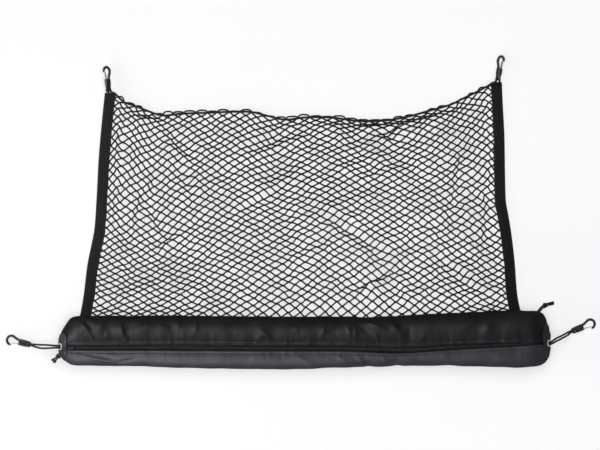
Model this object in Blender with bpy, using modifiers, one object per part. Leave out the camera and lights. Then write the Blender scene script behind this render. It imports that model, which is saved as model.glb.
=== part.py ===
"""Cargo net for a car boot, laid out flat: a diamond-mesh net between two folded side bands, an
elastic cord along its top edge, a zipped leatherette case along its bottom edge and four snap
hooks. Metres, +Z up. +X runs along the case, +Y from the case to the upper hooks, the floor is
z = 0 and the origin is at the middle of the layout. Every table below is in millimetres."""

import math
from collections import namedtuple

import bmesh
import bpy
import numpy as np
from mathutils import Matrix, Vector

MM = 0.001
GAP = 0.35  # between pieces that touch

# Storage case: a soft tube that narrows to a smaller panel at each end.
Station = namedtuple("Station", "x back front floor crest upper_lip lower_lip")
CASE = (
    Station(-449, -222, -271, 13, 62, -244.5, -256.5),
    Station(-441, -210, -277, 7, 67, -244.5, -256.5),
    Station(-429, -197.5, -283, 1, 71, -244.3, -256.6),
    Station(-410, -196, -284, 0, 72, -244.2, -256.7),
    Station(-285, -196, -286, 0, 73, -243, -256.9),
    Station(-230, -196.2, -288.5, 0, 74, -242.8, -257.2),
    Station(-20, -198, -291, 0, 77, -244.2, -258.2),
    Station(60, -196.5, -288, 0, 78, -244.4, -258.4),
    Station(180, -192.5, -285, 0, 79, -247, -262),
    Station(250, -189.5, -284, 0, 80, -244, -257.5),
    Station(330, -186.5, -286, 0, 82, -241, -252.5),
    Station(402, -183, -287.5, 0, 83, -240, -248.5),
    Station(427, -184, -286.3, 1, 82, -240, -247),
    Station(440.5, -188, -282, 5, 77, -240, -246.3),
    Station(449.5, -205.5, -274, 11, 69, -240, -246),
)
CASE_ROUNDNESS = 2.3  # superellipse exponent of the tube's section
CASE_FLAT = 0.06  # share of the height pressed flat against the floor
CASE_WALL = 2.2
END_LEAN = {-1: 0.287, 1: 0.22}  # how far an end's top leans in, for each unit of height
END_LEAN_REACH = 55.0  # length of tube over which the lean builds up
SEAM_ANGLE = math.radians(-44.0)  # back seam that holds the net, seen along the tube
CASE_STEPS_MIDDLE = 30
TAPER_STEPS = np.array([0, 3, 7, 12, 18, 26])  # sections beside each end, from the end
TAPER_LENGTH = 38.0  # and where the even ones start
UPPER_STEPS = 7
LOWER_STEPS = 9
SEAM_ROW = 0.02  # share of a panel in its first row beside the seam
LIP_ROW = 0.06  # and beside the zip

# Low creases pressed into the case. Angle 0 is the back, 90 the crest and 180 the front.
Crease = namedtuple("Crease", "x angle depth half_length half_width slant")
CREASES = (
    Crease(-398, 52, 1.6, 22, 9, 10),
    Crease(-362, 60, 1.4, 24, 8, -8),
    Crease(-322, 56, 1.2, 20, 8, -10),
    Crease(-250, 48, 1.0, 24, 12, 12),
    Crease(60, 50, 1.3, 24, 10, -10),
    Crease(110, 60, 1.4, 20, 9, 12),
    Crease(178, 46, 1.6, 26, 11, 6),
    Crease(330, 50, 1.0, 24, 12, -8),
    Crease(-330, 138, 1.3, 16, 12, -28),
    Crease(90, 150, 1.2, 14, 12, 10),
    Crease(160, 146, 1.3, 14, 10, -12),
    Crease(215, 150, 1.2, 14, 10, 12),
)

# Zip
TAPE_THICK = 1.2
TAPE_OVERLAP = 3.6
TAPE_SINK = 0.75  # below the panels' inner faces
COIL_RISE = 1.3
COIL_WIDTH = 0.14  # of the tape's width
TAPE_SHARES = np.array([0, 0.2, 0.4, 0.5, 0.6, 0.8, 1])  # lines along the tape, across its width
SLIDER_X = -441.5
SLIDER_SIZE = (12.0, 8.0, 2.6)
SLIDER_BEVEL = 0.7
SLIDER_ARCH_RADIUS = 3.2
SLIDER_ARCH_SEAT = 0.7
SLIDER_ARCH_WIRE = 0.8
SLIDER_ARCH_SWEEP = (-20, 200)
SLIDER_ARCH_STEPS = 9

# End panels and their eyelets
END_DOME = 1.5
END_RINGS = 3
END_SIDES = 24
EYELET_AT = {-1: (-249.0, 35.0), 1: (-242.5, 40.0)}  # y and z
EYELET_HOLE = 3.8
EYELET_WALL = 0.8
EYELET_FLANGE = 6.5
EYELET_RIM = 0.9
EYELET_BEVEL = 0.5
EYELET_STEPS = 16

# Side bands, folded over the net's edges: centre line from the top to the case
Place = namedtuple("Place", "x y")
BAND_LEFT = (
    Place(-362.5, 220.8),
    Place(-367.6, 157),
    Place(-372.5, 98),
    Place(-376.5, 23),
    Place(-381, -36),
    Place(-386.9, -66),
    Place(-393, -96),
    Place(-400.4, -155),
    Place(-405.5, -185),
    Place(-408.2, -197.0),
)
BAND_RIGHT = (
    Place(356.6, 240.3),
    Place(358.8, 200),
    Place(361.7, 145),
    Place(363, 68),
    Place(364.3, 23),
    Place(369.5, -8),
    Place(374.4, -38),
    Place(380.8, -92),
    Place(386, -155),
    Place(391, -181),
    Place(392.6, -186.5),
)
BAND_WIDTH = 20.5
BAND_PLY = 1.2
BAND_FOLD = 1.6  # thickness of the folded edge
BAND_BEVEL = 0.9
BAND_STEPS = 22

# Net
NET_THICK = 1.0
NET_TUCK = 7.0  # how far the net's edge runs past a band's centre line
NET_COLUMNS = 72
NET_ROWS = 12
NET_PAST_CORD = 3.5
SCALLOP_RISE = 2.6
NET_CORNER = (335.0, 25.0)  # from this x, over this length, the top edge turns under the bands
NET_CORNER_DROP = 6.0
NET_ROW_CROWD = 0.3  # how much closer the rows stand at the top and bottom
SEAM_DEPTH = 3.0  # how far the net's edge goes into the case's back seam
SEAM_HINGE = 3.5  # where it starts to follow the seam's slope, out of the case
SEAM_FOOT = 8.0  # and where it leaves the floor, behind the seam
SEAM_HALF_SLOT = NET_THICK / 2 + 1.5 * GAP
FOLD_FADE = 40.0  # folds die out over this distance from the cord and the case
BAND_CLIMB = (2.0, 22.0)  # the net rises into a band from this far off, over this length
Fold = namedtuple("Fold", "x0 y0 x1 y1 height half_width")
FOLDS = (
    Fold(20, 0, 154, -94, 5, 16),
    Fold(224, -60, 350, -150, 4, 16),
    Fold(85, -158, 160, -124, 5, 14),
    Fold(-276, 100, -268, 40, 4, 14),
    Fold(-205, 72, -170, 15, 4, 16),
    Fold(282, 160, 312, -50, 6, 26),
    Fold(120, 128, 176, 92, 5, 14),
    Fold(-150, -40, -60, -75, 3, 20),
    Fold(-335, -60, -300, -110, 3, 16),
)

# Elastic cord along the net's top edge, between the two hooks' eyes
CORD_RADIUS = 1.65
CORD_SPACING = 10.0
CORD_CLIMB = (318.0, 24.0, 1.5)  # from this x, over this length, the cord rises this much
CORD_EDGE = (
    Place(-341, 210),
    Place(-334, 204.5),
    Place(-319, 199.5),
    Place(-296, 190.7),
    Place(-265, 180.6),
    Place(-231, 183.5),
    Place(-188, 185.2),
    Place(-100, 186.9),
    Place(-71, 180.4),
    Place(-36, 172.6),
    Place(0, 176.5),
    Place(48, 176.7),
    Place(102, 170),
    Place(154, 171.5),
    Place(198, 179.5),
    Place(226, 187.5),
    Place(273, 201),
    Place(293, 211),
    Place(322, 225),
    Place(334, 231.5),
)

# Snap hooks: u runs from the eye to the loop, v to the spine's side, w through the thickness.
Hook = namedtuple("Hook", "name x y z turn roll pitch spine")
HOOKS = (
    Hook("top_left", -363.8, 225.2, 8.9, 95.9, 50, 0, -1),
    Hook("top_right", 359.4, 245.4, 8.9, 81.2, 50, 0, 1),
    Hook("bottom_left", -508.9, -245.7, 6.4, 167.1, 0, 4.5, -1),
    Hook("bottom_right", 497.2, -220.8, 6.4, 21.5, 0, 4.5, 1),
)
Slice = namedtuple("Slice", "u half_v half_w")
HOOK_BLOCK = (
    Slice(0, 4.2, 1.5),
    Slice(0.7, 5.0, 2.0),
    Slice(9.8, 6.0, 2.3),
    Slice(12.5, 6.1, 3.3),
    Slice(21.0, 6.1, 3.5),
    Slice(22.6, 5.9, 3.3),
    Slice(23.2, 5.4, 2.9),
)
HOOK_SLOT = (2.5, 9.0, 3.5)  # from u, to u, half width
LOOP_CENTRE = 37.0
LOOP_RADIUS = 7.6
LOOP_HALF = (1.65, 2.25)  # half the section in the loop's plane and along w
LOOP_SWEEP = (118.0, -98.0)  # degrees about the loop's centre
LOOP_STEPS = 13
LOOP_TIP = 0.6  # size of the loop's last section
SPINE_START = ((17.5, 2.6), (23.5, 3.7), (29.5, 5.6))
CUTTER_DEPTH = 12.0  # through the whole hook
GATE_PIVOT = (22.2, -3.4)
GATE_GROOVE = 1.55
GATE_TURN = -6.0  # degrees from the u axis, closed
GATE_HALF_WIDTH = 1.7
GatePoint = namedtuple("GatePoint", "u half")
GATE = (
    GatePoint(-1.1, 0.35),
    GatePoint(-0.7, 0.95),
    GatePoint(0.0, 1.2),
    GatePoint(0.7, 0.95),
    GatePoint(1.2, 0.45),
    GatePoint(13.1, 0.45),
    GatePoint(14.3, 0.3),
)

# A cord's way round the bar of a hook's eye, down to the deepest place in the slot and back
Way = namedtuple("Way", "u aside reach")
EYE_WAY = (Way(-1.6, 1, 0.93), Way(1.3, 0.7, 1), Way(4.45, 0.4, 0.72))
EYE_DEEPEST = 5.1
EYE_CLEAR = 0.8

# The edge cord between the hooks' eyes and the bands' tops
Spot = namedtuple("Spot", "x y z")
CORD_OVER_LEFT = (Spot(-353.2, 221.6, 6.9), Spot(-347.6, 216.4, 5.4))
CORD_OVER_RIGHT = (Spot(340.6, 234.8, 5.6), Spot(347, 239.2, 7.4))
CORD_EYE_ASIDE = -0.6
CORD_START = Place(-3.4, 0)  # from the band's upper end
CORD_FINISH = Place(6.2, 0.4)
MOUTH_STEPS = (Place(1.2, 0), Place(2.1, 0.3))  # out of a band, and up

# Bungee loops from the eyelets to the lower hooks: the middle points of their two strands
BUNGEE_RADIUS = 1.5
BUNGEE_APART = 1.75  # each strand from the eyelet's axis
BUNGEE_OUT = (-1.0, 4.5, 9.0)  # along the eyelet's axis
BUNGEE_EYE_ASIDE = 1.2
BUNGEE_LEFT_UPPER = (Spot(-478, -245.9, 38), Spot(-490, -245.6, 28), Spot(-499.5, -245.3, 17))
BUNGEE_LEFT_LOWER = (Spot(-476, -251.9, 37), Spot(-487, -252.2, 27), Spot(-496.5, -250.6, 12))
BUNGEE_RIGHT_UPPER = (Spot(467.5, -231.4, 44), Spot(478, -224.8, 36), Spot(487.5, -220.6, 21))
BUNGEE_RIGHT_LOWER = (Spot(471, -237.2, 41), Spot(481, -231.2, 31), Spot(489, -226.6, 13))

# Zip pulls: the line between their two strands, and the tips of their tails
PULL_RADIUS = 1.2
KNOT_TUBE = 1.0
KNOT_HOLE = (3.6, 1.9)
KNOT_STRETCH = 1.5
KNOT_AT = 2  # which point of a pull's line the knot is on
KNOT_STEPS = (14, 8)
PULL_LEFT = (
    Spot(-447.5, -257, 63),
    Spot(-454.5, -263.5, 55),
    Spot(-459.5, -269, 45),
    Spot(-464.5, -273, 37),
)
PULL_LEFT_TIPS = (Spot(-467.5, -279.5, 29), Spot(-471, -275, 30.5))
PULL_ARCH = (Place(0.3, 0.2), Place(0.2, 1.6), Place(-1.8, 3.0))  # through the slider's arch
PULL_RIGHT = (
    Spot(436, -190, 1.8),
    Spot(441, -180, 2.6),
    Spot(447.5, -172, 4),
    Spot(453.5, -169.4, 3.6),
)
PULL_RIGHT_TIPS = (Spot(464.5, -167.2, 1.5), Spot(464, -172, 1.5))
PULL_RIGHT_HELD = (431.5, 434.9)  # where its strands lie against the case's underside
PULL_RIGHT_ANGLE = math.radians(-48.3)
PULL_RIGHT_SEAT = 1.05  # from the case to the middle of each strand's slanted end

# Colours (sRGB), roughness, metallic
Finish = namedtuple("Finish", "red green blue roughness metallic")
FINISHES = {
    "leatherette": Finish(0.17, 0.17, 0.18, 0.45, 0),
    "band_webbing": Finish(0.1, 0.11, 0.12, 0.8, 0),
    "net_yarn": Finish(0.07, 0.07, 0.08, 0.7, 0),
    "elastic_cord": Finish(0.07, 0.07, 0.09, 0.6, 0),
    "hook_plastic": Finish(0.09, 0.09, 0.1, 0.35, 0),
    "gate_steel": Finish(0.75, 0.76, 0.78, 0.25, 1),
    "eyelet_metal": Finish(0.7, 0.71, 0.74, 0.3, 1),
    "zip_tape": Finish(0.1, 0.1, 0.12, 0.6, 0),
    "slider_metal": Finish(0.35, 0.36, 0.4, 0.35, 1),
}


# ---------------------------------------------------------------- curves and tables


def column(rows, name):
    return np.array([getattr(row, name) for row in rows], float)


def smooth(x, xs, ys):
    """Cubic through (xs, ys) that never overshoots a row, held level past the ends."""
    step = np.diff(xs)
    slope = np.diff(ys) / step
    least = np.minimum(np.abs(slope[:-1]), np.abs(slope[1:]))
    middle = np.clip((slope[:-1] + slope[1:]) / 2, -2 * least, 2 * least)
    middle[slope[:-1] * slope[1:] <= 0] = 0
    tangent = np.concatenate([slope[:1], middle, slope[-1:]])
    at = np.clip(x, xs[0], xs[-1])
    i = np.clip(np.searchsorted(xs, at) - 1, 0, len(step) - 1)
    t = (at - xs[i]) / step[i]
    rise = ys[i] * (1 + 2 * t) * (1 - t) ** 2 + ys[i + 1] * t**2 * (3 - 2 * t)
    bend = tangent[i] * t * (1 - t) ** 2 - tangent[i + 1] * t**2 * (1 - t)
    return rise + step[i] * bend


def ease(t):
    """0 to 1 with level ends."""
    t = np.clip(t, 0, 1)
    return t * t * (3 - 2 * t)


def through(points, steps=24):
    """A smooth curve through the points (centripetal Catmull-Rom), as a dense polyline."""
    points = np.asarray(points, float)
    points = np.vstack([2 * points[0] - points[1], points, 2 * points[-1] - points[-2]])
    knots = np.concatenate([[0], np.cumsum(np.linalg.norm(np.diff(points, axis=0), axis=1) ** 0.5)])
    pieces = []
    for i in range(1, len(points) - 2):
        t = np.linspace(knots[i], knots[i + 1], steps, endpoint=False)[:, None]

        def blend(a, b, first, last):
            return ((knots[last] - t) * a + (t - knots[first]) * b) / (knots[last] - knots[first])

        one = blend(points[i - 1], points[i], i - 1, i)
        two = blend(points[i], points[i + 1], i, i + 1)
        three = blend(points[i + 1], points[i + 2], i + 1, i + 2)
        pieces.append(blend(blend(one, two, i - 1, i + 1), blend(two, three, i, i + 2), i, i + 1))
    return np.vstack(pieces + [points[-2:-1]])


def thinned(line, spacing, most_turn=math.radians(24)):
    """Keeps the points that a tube needs: one each spacing, and more round tight bends."""
    kept = [0]
    for i in range(1, len(line) - 1):
        run = np.linalg.norm(line[i] - line[kept[-1]])
        before = line[kept[-1] + 1] - line[kept[-1]]
        after = line[i + 1] - line[i]
        cosine = before @ after / (np.linalg.norm(before) * np.linalg.norm(after))
        turn = math.acos(max(-1.0, min(1.0, cosine)))
        if run >= spacing or turn >= most_turn:
            kept.append(i)
    if np.linalg.norm(line[-1] - line[kept[-1]]) < spacing / 4 and len(kept) > 1:
        kept.pop()
    return line[kept + [len(line) - 1]]


# ---------------------------------------------------------------- meshes and objects


def finish_material(name):
    material = bpy.data.materials.get(name) or bpy.data.materials.new(name)
    material.use_nodes = True
    shader = material.node_tree.nodes["Principled BSDF"]
    finish = FINISHES[name]
    shader.inputs["Base Color"].default_value = (finish.red, finish.green, finish.blue, 1)
    shader.inputs["Roughness"].default_value = finish.roughness
    shader.inputs["Metallic"].default_value = finish.metallic
    return material


def add_object(name, data, finish, collection):
    piece = bpy.data.objects.new(name, data)
    collection.objects.link(piece)
    data.materials.append(finish_material(finish))
    return piece


def grid_mesh(name, points, wrap=False):
    """A sheet of quads over points[row, column], in millimetres; wrap closes each row on itself.
    Faces look along (column direction) x (row direction)."""
    rows, columns = points.shape[:2]
    row = np.arange(rows - 1)[:, None]
    here = np.arange(columns if wrap else columns - 1)[None, :]
    there = (here + 1) % columns
    corners = [row * columns + here, row * columns + there]
    corners += [(row + 1) * columns + there, (row + 1) * columns + here]
    quads = np.stack(np.broadcast_arrays(*corners), axis=-1).reshape(-1, 4)
    mesh = bpy.data.meshes.new(name)
    mesh.from_pydata((points.reshape(-1, 3) * MM).tolist(), [], quads.tolist())
    mesh.update()
    mesh.shade_smooth()
    return mesh


def loft_mesh(name, rings):
    """A closed solid through rings[ring, point] of equal length, with flat ends."""
    mesh = grid_mesh(name, rings, wrap=True)
    solid = bmesh.new()
    solid.from_mesh(mesh)
    solid.verts.ensure_lookup_table()
    sides = rings.shape[1]
    last = (len(rings) - 1) * sides
    solid.faces.new([solid.verts[i] for i in range(sides)])
    solid.faces.new([solid.verts[last + i] for i in range(sides)])
    bmesh.ops.recalc_face_normals(solid, faces=solid.faces)
    solid.to_mesh(mesh)
    solid.free()
    mesh.set_sharp_from_angle(angle=math.radians(40))
    return mesh


def thicken(piece, thickness, offset=-1.0):
    """A wall on an open sheet; offset -1 grows it inwards, 1 outwards, 0 both ways."""
    wall = piece.modifiers.new("wall", "SOLIDIFY")
    wall.thickness = thickness * MM
    wall.offset = offset
    wall.use_even_offset = True


def tube(name, line, radius, finish, collection, spacing=None):
    """A round cord along a polyline in millimetres."""
    points = thinned(line, spacing or 5 * radius)
    curve = bpy.data.curves.new(name, "CURVE")
    curve.dimensions = "3D"
    curve.bevel_depth = radius * MM
    curve.bevel_resolution = 2
    curve.use_fill_caps = True
    spline = curve.splines.new("POLY")
    spline.points.add(len(points) - 1)
    spline.points.foreach_set("co", np.c_[points * MM, np.ones(len(points))].ravel())
    return add_object(name, curve, finish, collection)


def baked(source, name):
    """The mesh of an object with its modifiers applied."""
    graph = bpy.context.evaluated_depsgraph_get()
    mesh = bpy.data.meshes.new_from_object(source.evaluated_get(graph))
    mesh.name = name
    mesh.materials.clear()
    return mesh


def boolean(piece, other, operation):
    join = piece.modifiers.new(f"{operation.lower()}_{other.name}", "BOOLEAN")
    join.operation = operation
    join.solver = "EXACT"
    join.object = other


# ---------------------------------------------------------------- storage case


def case_at(x):
    """The case table read at x."""
    xs = column(CASE, "x")
    return Station(x, *(smooth(x, xs, column(CASE, name)) for name in Station._fields[1:]))


def crease_depth(x, angle):
    """How far the creases press the surface in: an elongated dimple for each row."""
    depth = np.zeros(np.broadcast(x, angle).shape)
    for crease in CREASES:
        around = (np.degrees(angle) - crease.angle) / crease.half_length
        along = (x - crease.x - crease.slant * around) / crease.half_width
        depth += crease.depth * np.exp(-(around**2) - along**2)
    return depth


def case_smooth_surface(x, angle):
    """The tube's outer surface without its creases: a superellipse, pressed flat on the floor,
    whose ends lean inwards at the top."""
    x, angle = np.broadcast_arrays(np.asarray(x, float), np.asarray(angle, float))
    at = case_at(x)
    power = 2 / CASE_ROUNDNESS
    across = np.sign(np.cos(angle)) * np.abs(np.cos(angle)) ** power
    up = np.sign(np.sin(angle)) * np.abs(np.sin(angle)) ** power
    y = (at.back + at.front) / 2 + (at.back - at.front) / 2 * across
    rise = np.maximum(0, (1 + up) / 2 * (1 + CASE_FLAT) - CASE_FLAT)
    z = at.floor + (at.crest - at.floor) * rise
    side = np.where(x < 0, -1, 1)
    end = np.where(x < 0, CASE[0].x, CASE[-1].x)
    lean = np.where(x < 0, END_LEAN[-1], END_LEAN[1])
    lean = lean * (1 - ease(np.abs(end - x) / END_LEAN_REACH))
    return np.stack([x - side * lean * (z - (at.floor + at.crest) / 2), y, z], axis=-1)


def case_normal(x, angle):
    """The tube's outward unit normal, from its slopes."""
    dx, turn = 0.4, 0.01
    inner = np.clip(x, CASE[0].x + dx, CASE[-1].x - dx)
    along = case_smooth_surface(inner + dx, angle) - case_smooth_surface(inner - dx, angle)
    around = case_smooth_surface(x, angle + turn) - case_smooth_surface(x, angle - turn)
    normal = np.cross(around, along)
    return normal / np.linalg.norm(normal, axis=-1, keepdims=True)


def case_surface(x, angle, inset=0.0):
    """The outer surface with its creases, or one that lies inset further in."""
    inset = np.asarray(inset + crease_depth(x, angle))
    return case_smooth_surface(x, angle) - inset[..., None] * case_normal(x, angle)


def angle_for(x, distance, angle):
    """The turn about the tube that moves a point by distance over its surface, near angle."""
    turn = 0.02
    step = case_smooth_surface(x, angle + turn) - case_smooth_surface(x, angle - turn)
    return distance * 2 * turn / np.linalg.norm(step, axis=-1)


def lip_angle(x, y):
    """The angle at which the top of the tube reaches y."""
    at = case_at(x)
    share = (y - (at.back + at.front) / 2) / ((at.back - at.front) / 2)
    return np.arccos(np.sign(share) * np.abs(share) ** (CASE_ROUNDNESS / 2))


def case_stations():
    """Where the tube's sections stand: close together at the tapered ends."""
    left, right = CASE[0].x, CASE[-1].x
    middle = np.linspace(left + TAPER_LENGTH, right - TAPER_LENGTH, CASE_STEPS_MIDDLE)
    return np.concatenate([left + TAPER_STEPS, middle, right - TAPER_STEPS[::-1]])


def panel_points(seam, lip, steps):
    """Grid over the tube from the angle seam(x) to lip(x), with a narrow row at each edge."""
    x = case_stations()
    share = np.concatenate([[0], np.linspace(SEAM_ROW, 1 - LIP_ROW, steps + 1), [1]])
    angle = seam(x)[:, None] * (1 - share) + lip(x)[:, None] * share
    return case_surface(x[:, None] + 0 * share, angle)


def build_case(collection):
    def seam_above(x):
        return SEAM_ANGLE + angle_for(x, SEAM_HALF_SLOT, SEAM_ANGLE)

    def seam_below(x):
        return SEAM_ANGLE + 2 * math.pi - angle_for(x, SEAM_HALF_SLOT, SEAM_ANGLE)

    def upper_lip(x):
        return lip_angle(x, case_at(x).upper_lip)

    def lower_lip(x):
        return lip_angle(x, case_at(x).lower_lip)

    upper = grid_mesh("case_upper", panel_points(seam_above, upper_lip, UPPER_STEPS))
    lower_points = panel_points(seam_below, lower_lip, LOWER_STEPS)[:, ::-1]
    lower = grid_mesh("case_lower", lower_points)
    thicken(add_object("case_upper", upper, "leatherette", collection), CASE_WALL)
    thicken(add_object("case_lower", lower, "leatherette", collection), CASE_WALL)


def build_zip(collection):
    """The closed zip: a tape under both lips with the coil raised along its middle."""
    x = case_stations()[1:-1]
    share = TAPE_SHARES
    top = lip_angle(x, case_at(x).upper_lip)
    bottom = lip_angle(x, case_at(x).lower_lip)
    top = top - angle_for(x, TAPE_OVERLAP, top)
    bottom = bottom + angle_for(x, TAPE_OVERLAP, bottom)
    angle = top[:, None] * (1 - share) + bottom[:, None] * share
    coil = COIL_RISE * np.exp(-(((share - 0.5) / COIL_WIDTH) ** 2))
    inset = CASE_WALL + TAPE_SINK - coil + 0 * angle
    tape = grid_mesh("zip_tape", case_surface(x[:, None] + 0 * angle, angle, inset))
    thicken(add_object("zip_tape", tape, "zip_tape", collection), TAPE_THICK)


def slider_frame():
    """Where the slider sits: x along the zip, z away from the case."""
    x = np.array(SLIDER_X)
    at = case_at(x)
    angle = lip_angle(x, (at.upper_lip + at.lower_lip) / 2)
    height = COIL_RISE - CASE_WALL - TAPE_SINK + GAP + SLIDER_SIZE[2] / 2
    up = Vector(case_normal(x, angle))
    middle = Vector(case_smooth_surface(x, angle)) + up * height
    along = Vector((1, 0, 0))
    along = (along - up * along.dot(up)).normalized()
    turn = Matrix((along, up.cross(along), up)).transposed()
    return Matrix.Translation(middle * MM) @ turn.to_4x4()


def build_slider(collection, cutters):
    """A bevelled body with a wire arch on top."""
    block = bmesh.new()
    bmesh.ops.create_cube(block, size=1)
    bmesh.ops.scale(block, vec=Vector(SLIDER_SIZE) * MM, verts=block.verts)
    bmesh.ops.bevel(
        block,
        geom=block.edges[:],
        offset=SLIDER_BEVEL * MM,
        segments=2,
        affect="EDGES",
        profile=0.5,
    )
    mesh = bpy.data.meshes.new("slider_block")
    block.to_mesh(mesh)
    block.free()
    body = add_object("slider_block", mesh, "slider_metal", cutters)
    turn = np.radians(np.linspace(*SLIDER_ARCH_SWEEP, SLIDER_ARCH_STEPS))
    arch = np.c_[
        SLIDER_ARCH_RADIUS * np.cos(turn),
        0 * turn,
        SLIDER_SIZE[2] / 2 + SLIDER_ARCH_SEAT + SLIDER_ARCH_RADIUS * np.sin(turn),
    ]
    wire = tube("slider_wire", arch, SLIDER_ARCH_WIRE, "slider_metal", cutters, 0.1)
    arch_mesh = baked(wire, "slider_arch")
    weld(arch_mesh)
    bpy.data.objects.remove(wire)
    arch_piece = add_object("slider_arch", arch_mesh, "slider_metal", cutters)
    boolean(body, arch_piece, "UNION")
    slider = add_object("zip_slider", baked(body, "zip_slider"), "slider_metal", collection)
    slider.matrix_world = slider_frame()
    return slider


def weld(mesh):
    """Joins the loose caps of a tube to its wall."""
    solid = bmesh.new()
    solid.from_mesh(mesh)
    bmesh.ops.remove_doubles(solid, verts=solid.verts, dist=1e-5)
    bmesh.ops.recalc_face_normals(solid, faces=solid.faces)
    solid.to_mesh(mesh)
    solid.free()


def end_normal(side):
    """The way out of an end panel, in line with the tube and leaning up."""
    normal = np.array([side, 0, END_LEAN[side]])
    return normal / np.linalg.norm(normal)


def eyelet_centre(side):
    """The eyelet's place on the inner face of its end panel."""
    station = CASE[0] if side < 0 else CASE[-1]
    y, z = EYELET_AT[side]
    lean = side * END_LEAN[side] * (z - (station.floor + station.crest) / 2)
    return np.array([station.x - lean, y, z]) + end_normal(side) * (GAP + END_DOME)


def build_end(side, name, collection):
    """A domed panel over the tube's end: rings from the eyelet's hole to the tube's outline."""
    normal = end_normal(side)
    turn = np.linspace(0, 2 * math.pi, END_SIDES, endpoint=False)
    edge = case_smooth_surface(np.array((CASE[0] if side < 0 else CASE[-1]).x), turn)
    centre = eyelet_centre(side) - normal * (GAP + END_DOME)
    hole = EYELET_HOLE + EYELET_WALL + GAP
    sideways = np.array([0.0, 1.0, 0.0])
    climb = np.array([-normal[2] * side, 0, abs(normal[0])])
    ring = centre + hole * (np.cos(turn)[:, None] * sideways + np.sin(turn)[:, None] * climb)
    share = np.linspace(0, 1, END_RINGS + 1)[:, None, None]
    rise = GAP + END_DOME * (1 - share**2)
    points = ring * (1 - share) + edge * share + rise * normal
    if side > 0:
        points = points[:, ::-1]
    mesh = grid_mesh(name, points, wrap=True)
    thicken(add_object(name, mesh, "leatherette", collection), CASE_WALL, offset=1.0)


def build_eyelet(side, name, collection):
    """A spool that clamps the end panel: a flange on each face and a barrel between them."""
    barrel = EYELET_HOLE + EYELET_WALL
    outer, inner = CASE_WALL + GAP, -GAP
    profile = [
        (EYELET_HOLE, outer + EYELET_RIM),
        (EYELET_FLANGE - EYELET_BEVEL, outer + EYELET_RIM),
        (EYELET_FLANGE, outer + EYELET_RIM - EYELET_BEVEL),
        (EYELET_FLANGE, outer),
        (barrel, outer),
        (barrel, inner),
        (EYELET_FLANGE, inner),
        (EYELET_FLANGE, inner - EYELET_RIM),
        (EYELET_HOLE, inner - EYELET_RIM),
    ]
    mesh = bpy.data.meshes.new(name)
    points = [(radius * MM, 0, height * MM) for radius, height in profile]
    mesh.from_pydata(points, [(i, (i + 1) % len(points)) for i in range(len(points))], [])
    eyelet = add_object(name, mesh, "eyelet_metal", collection)
    turned = eyelet.modifiers.new("turned", "SCREW")
    turned.steps = EYELET_STEPS
    turned.render_steps = EYELET_STEPS
    turned.use_merge_vertices = True
    turned.merge_threshold = 1e-5
    turned.use_smooth_shade = True
    normal = Vector(end_normal(side))
    eyelet.matrix_world = Matrix.Translation(Vector(eyelet_centre(side)) * MM) @ (
        Vector((0, 0, 1)).rotation_difference(normal).to_matrix().to_4x4()
    )


# ---------------------------------------------------------------- net and bands


def fold_height(x, y):
    """Soft ridges of the net along the rows of the fold table."""
    height = np.zeros(np.broadcast(x, y).shape)
    for fold in FOLDS:
        run = np.array([fold.x1 - fold.x0, fold.y1 - fold.y0], float)
        length = np.linalg.norm(run)
        run = run / length
        along = (x - fold.x0) * run[0] + (y - fold.y0) * run[1]
        off = (y - fold.y0) * run[0] - (x - fold.x0) * run[1]
        past = np.maximum(0, np.abs(along - length / 2) - length / 2)
        height += fold.height * np.exp(-(off**2 + past**2) / fold.half_width**2)
    return height


def band_line(rows, share, aside=0.0):
    """Points along a band's centre line, from the top to the case, moved sideways by aside."""
    xs, ys = column(rows, "x"), column(rows, "y")
    y = ys[0] + (ys[-1] - ys[0]) * share
    step = 0.5

    def line_x(y):
        return smooth(-y, -ys, xs)

    slope = (line_x(y + step) - line_x(y - step)) / (2 * step)
    length = np.sqrt(1 + slope**2)
    return line_x(y) + aside / length, y - aside * slope / length


def cord_height(x):
    """The edge cord's centre above the floor, where it lies on the net, which rises to the bands."""
    start, length, rise = CORD_CLIMB
    return NET_THICK + 2 * GAP + CORD_RADIUS + rise * ease((abs(x) - start) / length)


def seam_point(x):
    """A point of the back seam on the case's outer surface, and the way out of the case."""
    angle = np.full(np.shape(x), SEAM_ANGLE)
    return case_smooth_surface(x, angle), case_normal(x, angle)


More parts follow.
